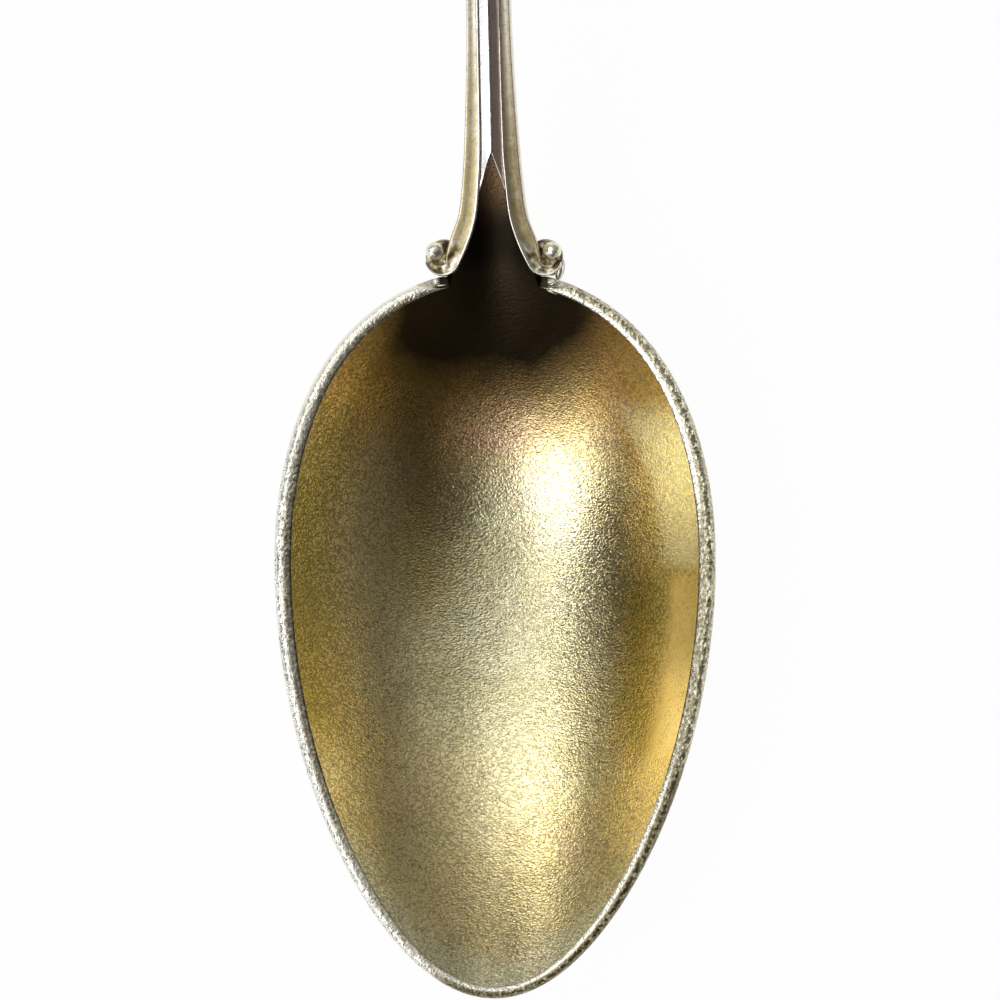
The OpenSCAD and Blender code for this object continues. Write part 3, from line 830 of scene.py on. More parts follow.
@dataclass(frozen=True)
class MattGold(Finish):
    """The bowl's matt gold: frosted grain, patches of olive, rose and pale gold, painted reflections, and a
    heel darkened by tarnish and painted shade.
    """

    name: str = "matt_gold"
    gold: Colour = (0.86, 0.71, 0.36)
    pale: Colour = (0.91, 0.86, 0.55)
    # The colour of the painted bright reflection on the right wall.
    rubbed: Colour = (1.0, 0.96, 0.76)
    amber: Colour = (0.68, 0.41, 0.12)
    rose: Colour = (0.70, 0.46, 0.32)
    olive: Colour = (0.55, 0.50, 0.25)
    # The colour of the painted darkening and dark reflections on the walls.
    dusk: Colour = (0.50, 0.40, 0.13)
    brown: Colour = (0.036, 0.025, 0.014)
    mauve: Colour = (0.155, 0.098, 0.055)
    # The colour of the painted black shade at the tongue's narrow place.
    painted_black: Colour = (0.004, 0.004, 0.004)

    # How much of each colour is laid on.
    amber_share: float = 0.85
    rose_share: float = 0.6
    olive_share: float = 0.35
    speck_share: float = 0.30
    groove_share: float = 0.45
    groove_highlight_loss: float = 0.25
    tarnish_share: float = 1.1
    painted_black_share: float = 0.65

    # The patches' noises, how far those sway the masks, and between which values the spots show.
    pale_noise: Noise = (5.0, 3.0, 3.1)
    pale_sway: float = 0.9
    rose_noise: Noise = (4.0, 2.0, 17.7)
    rose_spots: Pair = (0.52, 0.70)
    rose_spots_share: float = 0.4
    olive_noise: Noise = (7.0, 3.0, 41.3)
    olive_spots: Pair = (0.50, 0.68)
    amber_noise: Noise = (3.0, 3.0, 52.0)
    amber_sway: float = 0.5
    speck_noise: Noise = (0.22, 2.0, 5.0)
    speck_spots: Pair = (0.56, 0.70)
    smooth_noise: Noise = (1.2, 3.0, 12.0)
    smooth_sway: float = 0.5
    painted_dark_sway: float = 0.1
    tarnish_noise: Noise = (1.6, 4.0, 9.0)
    tarnish_sway: float = 0.30

    # The frosted relief: its cells with their grooves, its ripples and its grit, with heights in metres.
    cell_noise: Noise = (0.34, 2.0, 23.0)
    cell_stretch: Colour = (0.8, 1.1, 1)
    groove_sharp: float = 14
    groove_depth: float = 0.0000065
    ripple_noise: Noise = (0.15, 1.0, 27.0)
    ripple_stretch: Colour = (0.8, 1.15, 1)
    ripple_height: float = 0.000026
    grit_noise: Noise = (0.09, 2.0, 31.0)
    grit_height: float = 0.000010
    roughness: float = 0.16
    polished: float = 0.14
    tarnished: float = 0.24

    def metal(self, sheet: Sheet) -> dict[str, Any]:
        """Return what goes into the metal shader's sockets."""
        patches = (sheet.mask(Mask.WORN) + sheet.drift(self.pale_noise, self.pale_sway)).kept()
        rosy = sheet.clouds(*self.rose_noise).between(*self.rose_spots) * self.rose_spots_share
        greened = sheet.clouds(*self.olive_noise).between(*self.olive_spots)
        amber = sheet.mask(Mask.AMBER) + sheet.drift(self.amber_noise, self.amber_sway)
        speck = sheet.clouds(*self.speck_noise).between(*self.speck_spots)
        smooth = (sheet.mask(Mask.GOLD) + sheet.drift(self.smooth_noise, self.smooth_sway)).kept()
        matt = 1 - smooth
        cell = sheet.clouds(*self.cell_noise, self.cell_stretch)
        groove = (1 - abs(cell - 0.5) * self.groove_sharp).kept() * matt
        # Painted darkening and dark reflections on the walls, swayed with the pale patches.
        dusk = (sheet.mask(Mask.DUSK) + (patches - 0.5) * self.painted_dark_sway).kept()
        # The painted bright reflection, where no painted shade lies.
        rubbed = (sheet.mask(Mask.CLEAN) - sheet.mask(Mask.HOLLOW)).kept()
        # Tarnish and painted shade, laid on in brown, mauve and black.
        tarnish = sheet.mask(Mask.HOLLOW) * self.tarnish_share
        tarnish = (tarnish + sheet.drift(self.tarnish_noise, self.tarnish_sway)).kept()
        dark = sheet.colour(sheet.mask(Mask.CLEAN), self.brown, self.mauve)
        # Painted black shade at the tongue's narrow place.
        dark = sheet.colour(sheet.mask(Mask.GOLD) * self.painted_black_share, dark, self.painted_black)
        colour = self.gold
        for share, laid_on in (
            (patches, self.pale),
            (amber.kept() * self.amber_share, self.amber),
            ((sheet.mask(Mask.ROSE) + rosy).kept() * self.rose_share, self.rose),
            (greened * self.olive_share, self.olive),
            (speck * self.speck_share, self.brown),
            (dusk, self.dusk),
            (rubbed, self.rubbed),
            (groove * (self.groove_share - rubbed * self.groove_highlight_loss), self.brown),
            (tarnish, dark),
        ):
            colour = sheet.colour(share, colour, laid_on)
        ripple = sheet.clouds(*self.ripple_noise, self.ripple_stretch) * (self.ripple_height / MM)
        grit = sheet.clouds(*self.grit_noise) * (self.grit_height / MM)
        height = (ripple + grit) * matt - groove * (self.groove_depth / MM)
        rough = self.polished + matt * (self.roughness - self.polished) + tarnish * self.tarnished
        return {"Base Color": colour, "Metallic": 1.0, "Roughness": rough, "Normal": sheet.bump(height)}


@dataclass(frozen=True)
class Silver(Finish):
    """Silver with a fine grain, a warm tarnish in its hollows with painted shade, and bright edges from wear
    and painted highlights.
    """

    name: str = "rubbed_silver"
    silver: Colour = (0.86, 0.82, 0.72)
    warm: Colour = (0.66, 0.52, 0.28)
    dark: Colour = (0.06, 0.046, 0.028)
    worn: Colour = (0.94, 0.93, 0.90)
    blotch_noise: Noise = (0.9, 4.0, 7.0)
    blotch_from: float = 0.35
    blotch_share: float = 0.35
    gilded_and_painted_light_least: float = 0.5
    tarnish_and_painted_shade_least: float = 0.6
    roughness: float = 0.44
    uneven: float = 0.2
    rubbed: float = 0.2
    dulled: float = 0.0
    grain_mm: float = 0.16
    grain_detail: float = 3.0
    grain_seed: float = 19.0
    grain_height: float = 0.000006
    pepper: float = 0.25
    pepper_noise: Noise = (0.2, 2.0, 13.0)
    pepper_spots: Pair = (0.48, 0.66)

    def metal(self, sheet: Sheet) -> dict[str, Any]:
        """Return what goes into the metal shader's sockets."""
        hollow, worn, gilded_and_painted_light = (sheet.mask(mask) for mask in (Mask.HOLLOW, Mask.WORN, Mask.GOLD))
        blotch = sheet.clouds(*self.blotch_noise)
        speck = sheet.clouds(*self.pepper_noise).between(*self.pepper_spots) * (1 - sheet.mask(Mask.CLEAN))
        colour = self.silver
        for share, laid_on in (
            ((blotch - self.blotch_from).kept() * self.blotch_share, self.warm),
            ((gilded_and_painted_light * (self.gilded_and_painted_light_least + blotch)).kept(), self.warm),
            ((hollow * (self.tarnish_and_painted_shade_least + blotch)).kept(), self.dark),
            (worn, self.worn),
            (speck * self.pepper, self.dark),
        ):
            colour = sheet.colour(share, colour, laid_on)
        height = sheet.clouds(self.grain_mm, self.grain_detail, self.grain_seed) * (self.grain_height / MM)
        rough = self.roughness + (blotch - 0.5) * self.uneven - worn * self.rubbed + gilded_and_painted_light * self.dulled
        return {"Base Color": colour, "Metallic": 1.0, "Roughness": rough, "Normal": sheet.bump(height)}


BRIGHT = Silver(warm=(0.64, 0.51, 0.20))
# Its warm colour also paints the reflection on the ridge's right flank.
RIDGE = Silver(
    name="bright_silver", silver=(0.93, 0.93, 0.95), warm=(0.66, 0.53, 0.46), roughness=0.20, rubbed=0.06,
    pepper=0.1, dulled=0.22)
FROSTED = Silver(
    name="grained_silver", silver=(0.84, 0.81, 0.64), warm=(0.52, 0.46, 0.26), worn=(0.94, 0.93, 0.86),
    dark=(0.11, 0.09, 0.045), roughness=0.34, rubbed=0.10, grain_height=0.00005, pepper=0.6)
PEARL = Silver(
    name="cast_silver", silver=(0.92, 0.88, 0.68), warm=(0.60, 0.52, 0.30), roughness=0.34, rubbed=0.08,
    grain_height=0.00002, pepper=0.3)
BACK = Silver(name="back_silver", roughness=0.24, grain_mm=0.3, grain_height=0.000004)


@dataclass
class Bowl:
    """The bowl: its gold, its silver, the rim wire and the drop under the heel.

    The patches lie over x and y, in metres, over off, the distance from the middle line, and over reach,
    which is 0 in the middle of the bowl and 1 at its edge. On the rim they also lie over u, which runs from
    0 at its inner line to 1 at its outer line, and over the lumps of its frosted grain.
    """

    bench: Bench
    gold: MattGold = field(default_factory=MattGold)
    columns: int = 121
    tip_rows: int = 110
    heel_rows: int = 90
    first_deg: float = 0.4

    # The gold's waviness: its height and lumps, and where it starts beside the rim and from the tip.
    wave: float = 0.000012
    wave_lumps: Lumps = Lumps(0.0022, 4.0, 3)
    wave_beside: Pair = (1.0, 0.9)
    wave_free: float = 0.004

    # The dark heel, partly tarnish and partly painted shade: where it starts and is full, how much its edge
    # leans by x and from which x on, where it is lighter beside the rim, and the painted black shade at the
    # tongue's narrow place. Up the tongue it fades and turns mauve, each from a place past the heel to one
    # short of the point.
    heel_dark: Pair = (0.0378, 0.0448)
    heel_right: Pair = (0.65, 0.0025)
    heel_left: Pair = (0.3, 0.004)
    tongue_fade: float = 0.08
    fade_reach: Pair = (0.002, 0.001)
    mauve_reach: Pair = (0.0025, 0.001)
    by_rim: Patch = Patch(("reach", 0.86, 0.99), ("off", 0.0050, 0.0085), strength=0.45)
    # Painted black shade at the tongue's narrow place.
    painted_black: Patch = Patch(("y", 0.0485, 0.0508), ("y", 0.0550, 0.0516))

    # The pale middle and tip, and the painted bright reflection in pale gold on the right wall.
    far: Patch = Patch(("y", 0.024, 0.030))
    pale: Patch = Patch(("reach", 0.85, 0.15))
    pale_side: Patch = Patch(("x", -0.006, -0.0015))
    tip: Patch = Patch(("reach", 0.90, 0.99), ("y", 0.014, 0.008))
    # A painted bright reflection of a window on the right wall.
    rubbed: Patch = Patch(
        ("reach", 0.76, 0.86), ("x", 0, 0.004), ("y", 0.0288, 0.0298), ("y", 0.0412, 0.0374))
    painted_highlight_gain: float = 1.4
    polished: Patch = Patch(
        ("reach", 0.80, 0.90), ("y", 0.0300, 0.0275), ("y", 0.013, 0.018), ("x", 0.004, 0.008))

    # The amber of the upper bowl, and painted darkening on the left wall and in two bands along the bowl, the
    # right-hand band a painted dark reflection, each band with its middle, its width and its strength. The
    # rosy spot has a middle and a width along x and y.
    upper: Patch = Patch(("y", 0.034, 0.0425))
    painted_dark_loss: float = 0.6
    left_wall: Patch = Patch(("reach", 0.72, 0.95), ("x", 0, -0.006), ("y", 0.014, 0.020))
    left_band: tuple[float, float, float] = (-0.0056, 0.0022, 0.6)
    # A painted dark reflection along the right wall.
    right_band: tuple[float, float, float] = (0.0096, 0.0015, 0.9)
    right_band_along: Patch = Patch(("y", 0.0145, 0.018), ("y", 0.0300, 0.0270))
    rosy_x: Pair = (-0.0010, 0.0034)
    rosy_y: Pair = (0.0386, 0.0020)

    # The silver's own dark seam beside the tongue.
    seam_dark: Patch = Patch(("y", 0.042, 0.046), ("off", 0.0042, 0.0034))

    # The rim: its ends, its section as shares of its width and of its height, and its frosted nubs.
    rim_full_deg: float = 161.0
    rim_end_deg: float = 168.5
    rim_end_share: float = 0.03
    rim_narrow_power: float = 1.4
    rim_steps: int = 1500
    rim_columns: int = 21
    rim_section_shares: tuple = (
        (0, 0.66), (0.13, 0.84), (0.3, 0.96), (0.5, 1), (0.7, 0.94), (0.87, 0.74), (1, 0.35))
    nub: float = 0.000075
    nub_lumps: Lumps = Lumps(0.00022, 11.0, 2)
    nub_least: float = 0.35
    nub_high: Patch = Patch(("lumps", -0.1, 0.5), ("u", 0, 0.15))
    nub_sunk: Patch = Patch(("u", 0, 0.2), strength=0.5)
    swell_lumps: Lumps = Lumps(0.0016, 2.0, 2)
    draw: float = 0.00003
    drawn: Patch = Patch(("u", 0.5, 1))
    outward: Patch = Patch(("u", 0.45, 0.9))

    # The rim's wear and painted light: smoothed on the upper left, brown near the tip, painted shade on its
    # inner side, bright nubs, painted highlights along its inner edge and at its ends, and a painted
    # highlight on the left-hand rim's top.
    smoothed: Patch = Patch(("y", 0.034, 0.041), ("x", 0, -0.003), ("u", 0.2, 0.45))
    smoothed_loss: float = 0.75
    crevice: Patch = Patch(("u", 0.08, 0.0), ("y", 0.010, 0.016), strength=0.6)
    browned_right: Patch = Patch(("y", 0.018, 0.013), ("x", -0.004, 0.001))
    browned_tip: Patch = Patch(("y", 0.0035, 0.0015), ("x", -0.005, -0.003))
    browned_top: Patch = Patch(("u", 0.3, 0.5), strength=0.6)
    pits: Patch = Patch(("lumps", 0.1, -0.4), strength=0.2)
    # Painted shade on the rim's inner half along its sides, which also dims its inner highlight.
    dulled: Patch = Patch(("y", 0.009, 0.014), ("u", 0.5, 0.3), ("off", 0.004, 0.009), ("y", 0.036, 0.031))
    inner_painted_shade: float = 0.4
    inner_painted_shade_loss: float = 0.6
    # A painted highlight along the rim's inner edge.
    inner_painted_highlight: Patch = Patch(("u", 0.3, 0.1), ("u", 0.02, 0.08))
    worn_nubs: Patch = Patch(("lumps", 0.1, 0.45), strength=0.6)
    # Painted highlights where the rim narrows to its ends.
    end_painted_highlight: Pair = (0.5, 0.2)
    left: Patch = Patch(("x", 0.002, -0.006))
    # A painted highlight on the top of the left-hand rim.
    top_painted_highlight: Patch = Patch(("u", 0.25, 0.6))
    # A painted highlight line at the inner edge, on the far right and where the rim is brown.
    line_in: Patch = Patch(("u", 0.36, 0.26))
    line_out: Patch = Patch(("u", 0.06, 0.12))
    line_far: Patch = Patch(("y", 0.031, 0.036))
    line_gain: float = 1.3
    right_warm: float = 0.4

    # How strong one kind of the rim's wear and painted light is, and how much of it another kind takes away.
    wear_and_highlight_share: float = 0.8
    clean_and_highlight_share: float = 0.75
    clean_and_highlight_bright: float = 0.9
    clean_and_highlight_loss: float = 0.6
    browned_loss: float = 0.7
    smoothed_worn_loss: float = 0.35

    # The drop under the heel.
    drop_len: float = 0.009
    drop_end_deg: float = 86.0
    drop_tip_share: float = 0.12
    drop_edge_share: float = 0.25
    drop_rows: int = 60
    drop_columns: int = 41

    def edge_angles(self, tip_count: int, heel_count: int) -> Array:
        """Return angles from beside the tip up to the rim's end."""
        tip = np.linspace(0, 90, tip_count + 1)[1:]
        return np.concatenate([[self.first_deg], tip, np.linspace(90, self.rim_end_deg, heel_count + 1)[1:]])

    def rows_across(self, side_line: Array) -> Array:
        """Return rows of places across the bowl, one for each point of its right-hand line."""
        u = np.linspace(-1, 1, self.columns)
        return np.stack([side_line[:, :1] * u, np.repeat(side_line[:, 1:], self.columns, axis=1)], -1)

    def side_lines(self) -> tuple[Array, Array]:
        """Return the right-hand lines of the bowl's inside and of its back."""
        lines = self.bench.lines
        angles = self.edge_angles(self.tip_rows, self.heel_rows)
        tongue = lines.tongue_edge()
        outer = lines.outer_edge(angles)
        away = outer - lines.scroll_centre
        apart = np.linalg.norm(away, axis=1, keepdims=True)
        room = lines.scroll_r + lines.seam
        outer = np.where(apart < room, lines.scroll_centre + away * room / np.maximum(apart, TINY), outer)
        return np.concatenate([lines.inner_edge(angles), tongue]), np.concatenate([outer, tongue])

    def up_tongue(self, reach: Pair, y: Array) -> Array:
        """Return a smooth rise up the tongue, from a place past the heel to one short of the point."""
        lines = self.bench.lines
        return smooth_step(lines.heel_y + reach[0], lines.apex_y - reach[1], y)

    def heel_shade(self, p: Array) -> Array:
        """Return how far the gold is darkened, by tarnish and painted shade, towards the heel and up the
        tongue.
        """
        x, y = p[..., 0], p[..., 1]
        right_slope, right_start = self.heel_right
        left_slope, left_start = self.heel_left
        skew = right_slope * np.maximum(x - right_start, 0) + left_slope * np.maximum(-x - left_start, 0)
        along = smooth_step(*self.heel_dark, y - skew)
        return along * (1 - self.tongue_fade * self.up_tongue(self.fade_reach, y))

    def lining(self) -> bpy.types.Object:
        """Make the gold inside of the bowl and its tongue."""
        lines = self.bench.lines
        flat = self.rows_across(self.side_lines()[0])
        x, y = flat[..., 0], flat[..., 1]
        top = raised(flat, lines.shell_top_z(flat) + lines.gilt_t)
        under = top - [0, 0, lines.gilt_t]
        inward = smooth_step(*self.wave_beside, np.abs(np.linspace(-1, 1, self.columns)))
        inward = inward * smooth_step(lines.edge_tip, self.wave_free, y)
        top[..., 2] += self.wave * inward * self.wave_lumps.over(top)
        half, tip_len, heel_len = lines.inner_sizes
        along = y - lines.tip_len
        reach = np.hypot(x / half, along / np.where(along < 0, tip_len, heel_len))
        places = {"x": x, "y": y, "off": np.abs(x), "reach": reach}
        rubbed, far, upper = (patch.over(places) for patch in (self.rubbed, self.far, self.upper))
        left_middle, left_wide, left_strength = self.left_band
        right_middle, right_wide, right_strength = self.right_band
        left_band = left_strength * far * bell(left_middle, left_wide, x)
        right_band = right_strength * bell(right_middle, right_wide, x) * self.right_band_along.over(places)
        left_wall = self.left_wall.over(places) * (1 - self.painted_dark_loss * upper)
        pale = self.pale.over(places) * lerp(1, self.pale_side.over(places), far)
        masks = {
            # Tarnish and painted shade at the heel and up the tongue, lighter beside the rim.
            Mask.HOLLOW: self.heel_shade(flat) * (1 - self.by_rim.over(places)),
            # Pale gold in the middle and at the tip, and the painted bright reflection on the right wall.
            Mask.WORN: np.maximum(np.maximum(pale, self.tip.over(places)), self.painted_highlight_gain * rubbed),
            # Smooth gold, and painted black shade at the tongue's narrow place.
            Mask.GOLD: np.maximum(self.polished.over(places), self.painted_black.over(places)),
            Mask.AMBER: upper * (1 - np.clip(self.painted_highlight_gain * rubbed, 0, 1)),
            # Painted darkening on the left wall, and a painted dark reflection band on the right wall.
            Mask.DUSK: np.maximum(np.maximum(left_wall, left_band), right_band),
            Mask.ROSE: bell(*self.rosy_x, x) * bell(*self.rosy_y, y),
            # The tongue's mauve, and the painted bright reflection on the right wall.
            Mask.CLEAN: np.maximum(self.up_tongue(self.mauve_reach, y), rubbed),
        }
        piece = self.bench.slab("bowl_lining", top, under, masks)
        self.gold.dress(piece, "gilt")
        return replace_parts(piece, "gilt_lining")

    def back(self) -> bpy.types.Object:
        """Make the silver bowl, which shows on the spoon's back."""
        lines = self.bench.lines
        inner, outer = self.side_lines()
        flat, low = self.rows_across(inner), self.rows_across(outer)
        top = raised(flat, lines.shell_top_z(flat))
        under_z = lines.shell_under_z(low)
        rim_rows = len(inner) - len(lines.tongue_edge())
        for column in (0, -1):
            under_z[:rim_rows, column] = top[:rim_rows, column, 2]
        under = raised(low, under_z)
        blank = np.zeros(top.shape[:2])
        edge = np.abs(np.linspace(-1, 1, self.columns)) > 1 - TINY
        shaded = self.seam_dark.over({"y": flat[..., 1], "off": np.abs(flat[..., 0])})
        below = {Mask.HOLLOW: shaded * edge, Mask.WORN: blank}
        masks = {Mask.HOLLOW: shaded, Mask.WORN: blank}
        piece = self.bench.slab("bowl_back", top, under, masks, below=below)
        BACK.dress(piece, "silver")
        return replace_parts(piece, "bowl_shell")

    def rim_masks(self, places: Mapping[str, Array], left_over: Array) -> Masks:
        """Return the rim's painted wear, painted shade and painted highlights.

        Args:
            places: The coordinates that the patches lie over.
            left_over: What is left of the rim's height towards its ends.

        Returns:
            The masks.
        """
        smoothed = self.smoothed.over(places)
        browned = np.maximum(self.browned_right.over(places), self.browned_tip.over(places))
        dulled = self.dulled.over(places)
        hollow = self.pits.over(places) + self.crevice.over(places) + browned * self.browned_top.over(places)
        # Painted shade on the rim's inner side.
        hollow = hollow + self.inner_painted_shade * dulled
        # A painted highlight along the inner edge, dimmed under the painted shade, and bright nubs.
        worn = self.inner_painted_highlight.over(places) * (1 - self.inner_painted_shade_loss * dulled) + self.worn_nubs.over(places)
        # Painted highlights where the rim narrows to its ends.
        worn = np.maximum(worn * self.wear_and_highlight_share, smooth_step(*self.end_painted_highlight, left_over))
        left = self.left.over(places)
        # A painted highlight line at the inner edge.
        line = self.line_in.over(places) * np.maximum(self.line_out.over(places), browned)
        line = line * np.maximum(self.line_far.over(places) * (1 - left), browned)
        # A painted highlight on the left-hand rim's top.
        clean = left * self.top_painted_highlight.over(places) * (1 - browned)
        clean = np.clip(np.maximum(clean, self.line_gain * line), 0, 1)
        clean = np.maximum(clean, smoothed)
        worn = np.maximum(worn * (1 - self.browned_loss * browned), self.clean_and_highlight_bright * clean)
        return {
            Mask.HOLLOW: hollow * (1 - self.clean_and_highlight_loss * clean) * (1 - smoothed),
            Mask.WORN: worn * (1 - self.smoothed_worn_loss * smoothed),
            Mask.GOLD: hollow + self.right_warm * (1 - left),
            Mask.CLEAN: np.maximum(self.clean_and_highlight_share * clean, smoothed),
        }

    def rim(self) -> bpy.types.Object:
        """Make the frosted half-round wire on the bowl's edge, with its nubs and a painted highlight along
        its inner line.
        """
        lines = self.bench.lines
        angles = np.linspace(-self.rim_end_deg, self.rim_end_deg, self.rim_steps)
        left_over = (self.rim_end_deg - abs(angles[:, None])) / (self.rim_end_deg - self.rim_full_deg)
        left_over = np.clip(left_over, self.rim_end_share, 1)
        u = (1 - np.cos(np.linspace(0, math.pi, self.rim_columns))) / 2
        fit = lines.seam / lines.edge_side
        share = fit + (1 - fit) * u * left_over**self.rim_narrow_power
        inner, outer = lines.inner_edge(angles)[:, None], lines.outer_edge(angles)[:, None]
        flat = lerp(inner, outer, share[..., None])
        seat = lines.shell_top_z(inner) + lines.seam
        up = lines.rim_h * through(self.rim_section_shares, u) * np.sqrt(left_over)
        top = raised(flat, seat + up)
        under = raised(flat, np.broadcast_to(seat, up.shape))
        lumps = self.nub_lumps.over(top)
        x, y = flat[..., 0], flat[..., 1]
        places = {"x": x, "y": y, "off": np.abs(x), "u": u, "lumps": lumps}
        height = self.nub_least + self.outward.over(places) * left_over
        height *= self.nub * self.nub_high.over(places)
        height *= 1 - self.smoothed_loss * self.smoothed.over(places)
        top[..., 2] += height - self.nub * self.nub_sunk.over(places)
        swell = self.swell_lumps.over(raised(outer, 0 * outer[..., 0]))
        inwards = np.array([0, lines.tip_len]) - flat
        inwards /= np.linalg.norm(inwards, axis=-1, keepdims=True)
        draw = self.draw * (2 + swell - lumps) * self.drawn.over(places) * left_over
        top[..., :2] += inwards * draw[..., None]
        piece = self.bench.slab("bowl_rim", top, under, self.rim_masks(places, left_over))
        FROSTED.dress(piece, "frosted_silver")
        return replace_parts(piece, "rim_wire")

    def drop(self) -> bpy.types.Object:
        """Make the drop on the back of the bowl that carries the stem."""
        lines = self.bench.lines
        half = lines.join_pair(np.zeros(1))[0][0, 0] - 2 * lines.seam
        turn = np.radians(self.drop_end_deg * np.linspace(1, 0, self.drop_rows))[:, None]
        u = np.sin(np.radians(np.linspace(-90, 90, self.drop_columns)))[None]
        t = np.sin(turn) / math.sin(math.radians(self.drop_end_deg))
        y = lines.stem_y - lines.seam - self.drop_len * t
        flat = np.stack([half * np.cos(turn) * u, y + 0 * u], -1)
        tapered = (1 - t * t * (1 - self.drop_tip_share)) * (1 - (1 - self.drop_edge_share) * np.abs(u) ** 3)
        top_z = lines.shell_under_z(flat) - 3 * lines.seam
        top = raised(flat, top_z)
        under = raised(flat, top_z - lines.neck_under * tapered)
        piece = self.bench.slab("bowl_drop", top, under, blank_masks(top))
        BACK.dress(piece, "silver")
        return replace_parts(piece, "heel_drop")

    def build(self) -> list[bpy.types.Object]:
        """Make every piece of the bowl."""
        return [self.lining(), self.back(), self.rim(), self.drop()]


@dataclass
class Stem:
    """The stem: its forged bar, the ridge along its middle and the fluted wires on its edges."""

    bench: Bench
    cap_end_deg: float = 85.0
    join_rows: int = 40
    stem_rows: int = 320
    cap_rows: int = 40
    columns: int = 25

    # The bar's underside: a share of its half width and of its thickness.
    belly_shares: tuple = ((0, 1), (0.22, 1), (0.46, 1), (0.7, 0.95), (0.88, 0.76), (1, 0.42))

    # The ridge: where it fades, what is left of it, its notch and its nicks.
    ridge_fade_share: float = 0.36
    ridge_end_share: float = 0.64
    ridge_left_share: float = 0.16
    ridge_settle: float = 0.003
    settle_rows: int = 24
    ridge_rows: int = 260
    nick: float = 0.000012
    nick_lumps: Lumps = Lumps(0.0004, 21.0, 2)
    nicked: Patch = Patch(("off", 0.5, 0))
    tip_drop: float = 0.00005
    flank_dark: Patch = Patch(("off", 0.85, 1.0), strength=0.3)
    # A painted reflection: a warm, duller tint on the ridge's right flank.
    right_flank_painted_reflection: Patch = Patch(("u", 0.1, 0.4))
    crest_worn: Patch = Patch(("off", 0.3, 0), ("nicks", -0.2, 0.3))
    tip_worn: Patch = Patch(("nicks", -0.3, 0.1))

    # The edge wires: their rows and columns, and their section: a share of their width and of their height.
    curl_rows: int = 70
    edge_columns: int = 31
    wire_section_shares: tuple = (
        (0, 0.86), (0.05, 0.98), (0.13, 0.97), (0.24, 0.9), (0.5, 0.86), (0.8, 0.87), (0.95, 0.84), (1, 0.7))

    # The flutes' tarnish, from the far stem to near the bowl, with painted shade that makes the right-hand
    # wire darker, and the lumps where they curl, with dark pits and bright tops.
    near: Patch = Patch(("y", 0.068, 0.054))
    flute: Patch = Patch(("u", 0.14, 0.3), ("u", 0.95, 0.8))
    shade_right: Pair = (0.15, 0.52)
    shade_left: Pair = (0.16, 0.27)
    flute_gold: Pair = (0.12, 0.75)
    gold_beside: float = 0.4
    inner_worn: Patch = Patch(("u", 0.2, 0.1))
    pits: Patch = Patch(("lumps", 0, -0.3))
    tops: Patch = Patch(("lumps", 0.05, 0.4))
    pit_share: float = 0.8
    wear_and_highlight_share: float = 0.7
    curl_reach: Pair = (0.0014, 0.0002)
    curl_lump: float = 0.00007
    curl_cut: Pair = (-1.0, 0.8)
    curl_lumps: Lumps = Lumps(0.0006, 33.0, 2)

    def bar(self) -> bpy.types.Object:
        """Make the bar, spread out into the handle's blade."""
        lines = self.bench.lines
        join = lines.join_pair(np.linspace(0, 1, self.join_rows))[0]
        y = np.concatenate([np.linspace(lines.stem_y, lines.join_y, self.join_rows)[:-1],
                            np.linspace(lines.join_y, lines.cap_y, self.stem_rows)])
        half = lines.bar_half(y)
        order = np.argsort(join[:, 1])
        trough = np.where(y < lines.join_y, np.interp(y, join[order, 1], join[order, 0]), lines.wire_inner(y))
        turn = np.radians(np.linspace(0, self.cap_end_deg, self.cap_rows)[1:])
        end = math.sin(math.radians(self.cap_end_deg))
        wide = lines.wire_wide(np.array(lines.cap_y))
        cap_len = lines.overall_len - lines.cap_y
        y = np.concatenate([y, lines.cap_y + cap_len * np.sin(turn) / end])[:, None]
        half = np.concatenate([half, lines.handle_w / 2 * np.cos(turn)])[:, None]
        trough = np.concatenate([trough, (lines.handle_w / 2 - wide) * np.cos(turn)])[:, None]
        u = np.linspace(-1, 1, self.columns)[None]
        inside = np.stack([trough * u, y + 0 * u], -1)
        top_z = lines.bar_top_z(y)
        side_x = np.concatenate([-half, -trough, trough, half], 1)
        side_z = np.repeat(top_z, 4, 1)
        top_x = np.concatenate([side_x[:, :2], inside[..., 0], side_x[:, 2:]], 1)
        top_zs = np.concatenate([side_z[:, :2], lines.trough_z(inside), side_z[:, 2:]], 1)
        top = np.stack([top_x, y + 0 * top_x, top_zs], -1)
        v = np.sin(np.radians(np.linspace(-90, 90, top.shape[1])))[None]
        low = top_z - lines.bar_thick(y) * through(self.belly_shares, np.abs(v))
        under = np.stack([half * v, y + 0 * v, low], -1)
        piece = self.bench.slab("stem_forging", top, under, blank_masks(top))
        BACK.dress(piece, "silver")
        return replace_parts(piece, "stem_bar")

    def ridge(self) -> bpy.types.Object:
        """Make the roof-shaped ridge, notched round the tongue's point."""
        lines = self.bench.lines
        end_y = lines.stem_y + lines.stem_len * self.ridge_end_share
        fade_y = lines.stem_y + lines.stem_len * self.ridge_fade_share

        def fade(y: Array) -> Array:
            """Return what is left of the ridge at a place y."""
            return lerp(1, self.ridge_left_share, np.maximum(0, (y - fade_y) / (end_y - fade_y)))

        def half_at(y: Array) -> Array:
            """Return half the ridge's width at a place y."""
            faded = lines.wire_inner(np.array(fade_y)) * fade(y)
            return np.where(y < fade_y, lines.wire_inner(y), faded) - lines.seam

        def shifted(x: Array, y: Array) -> Array:
            """Return the place y moved back by the notch round the tongue's point."""
            settled = np.maximum(0, 1 - (y - lines.apex_y) / self.ridge_settle)
            return y + (lines.notch_y(x) - lines.apex_y) * settled + lines.seam

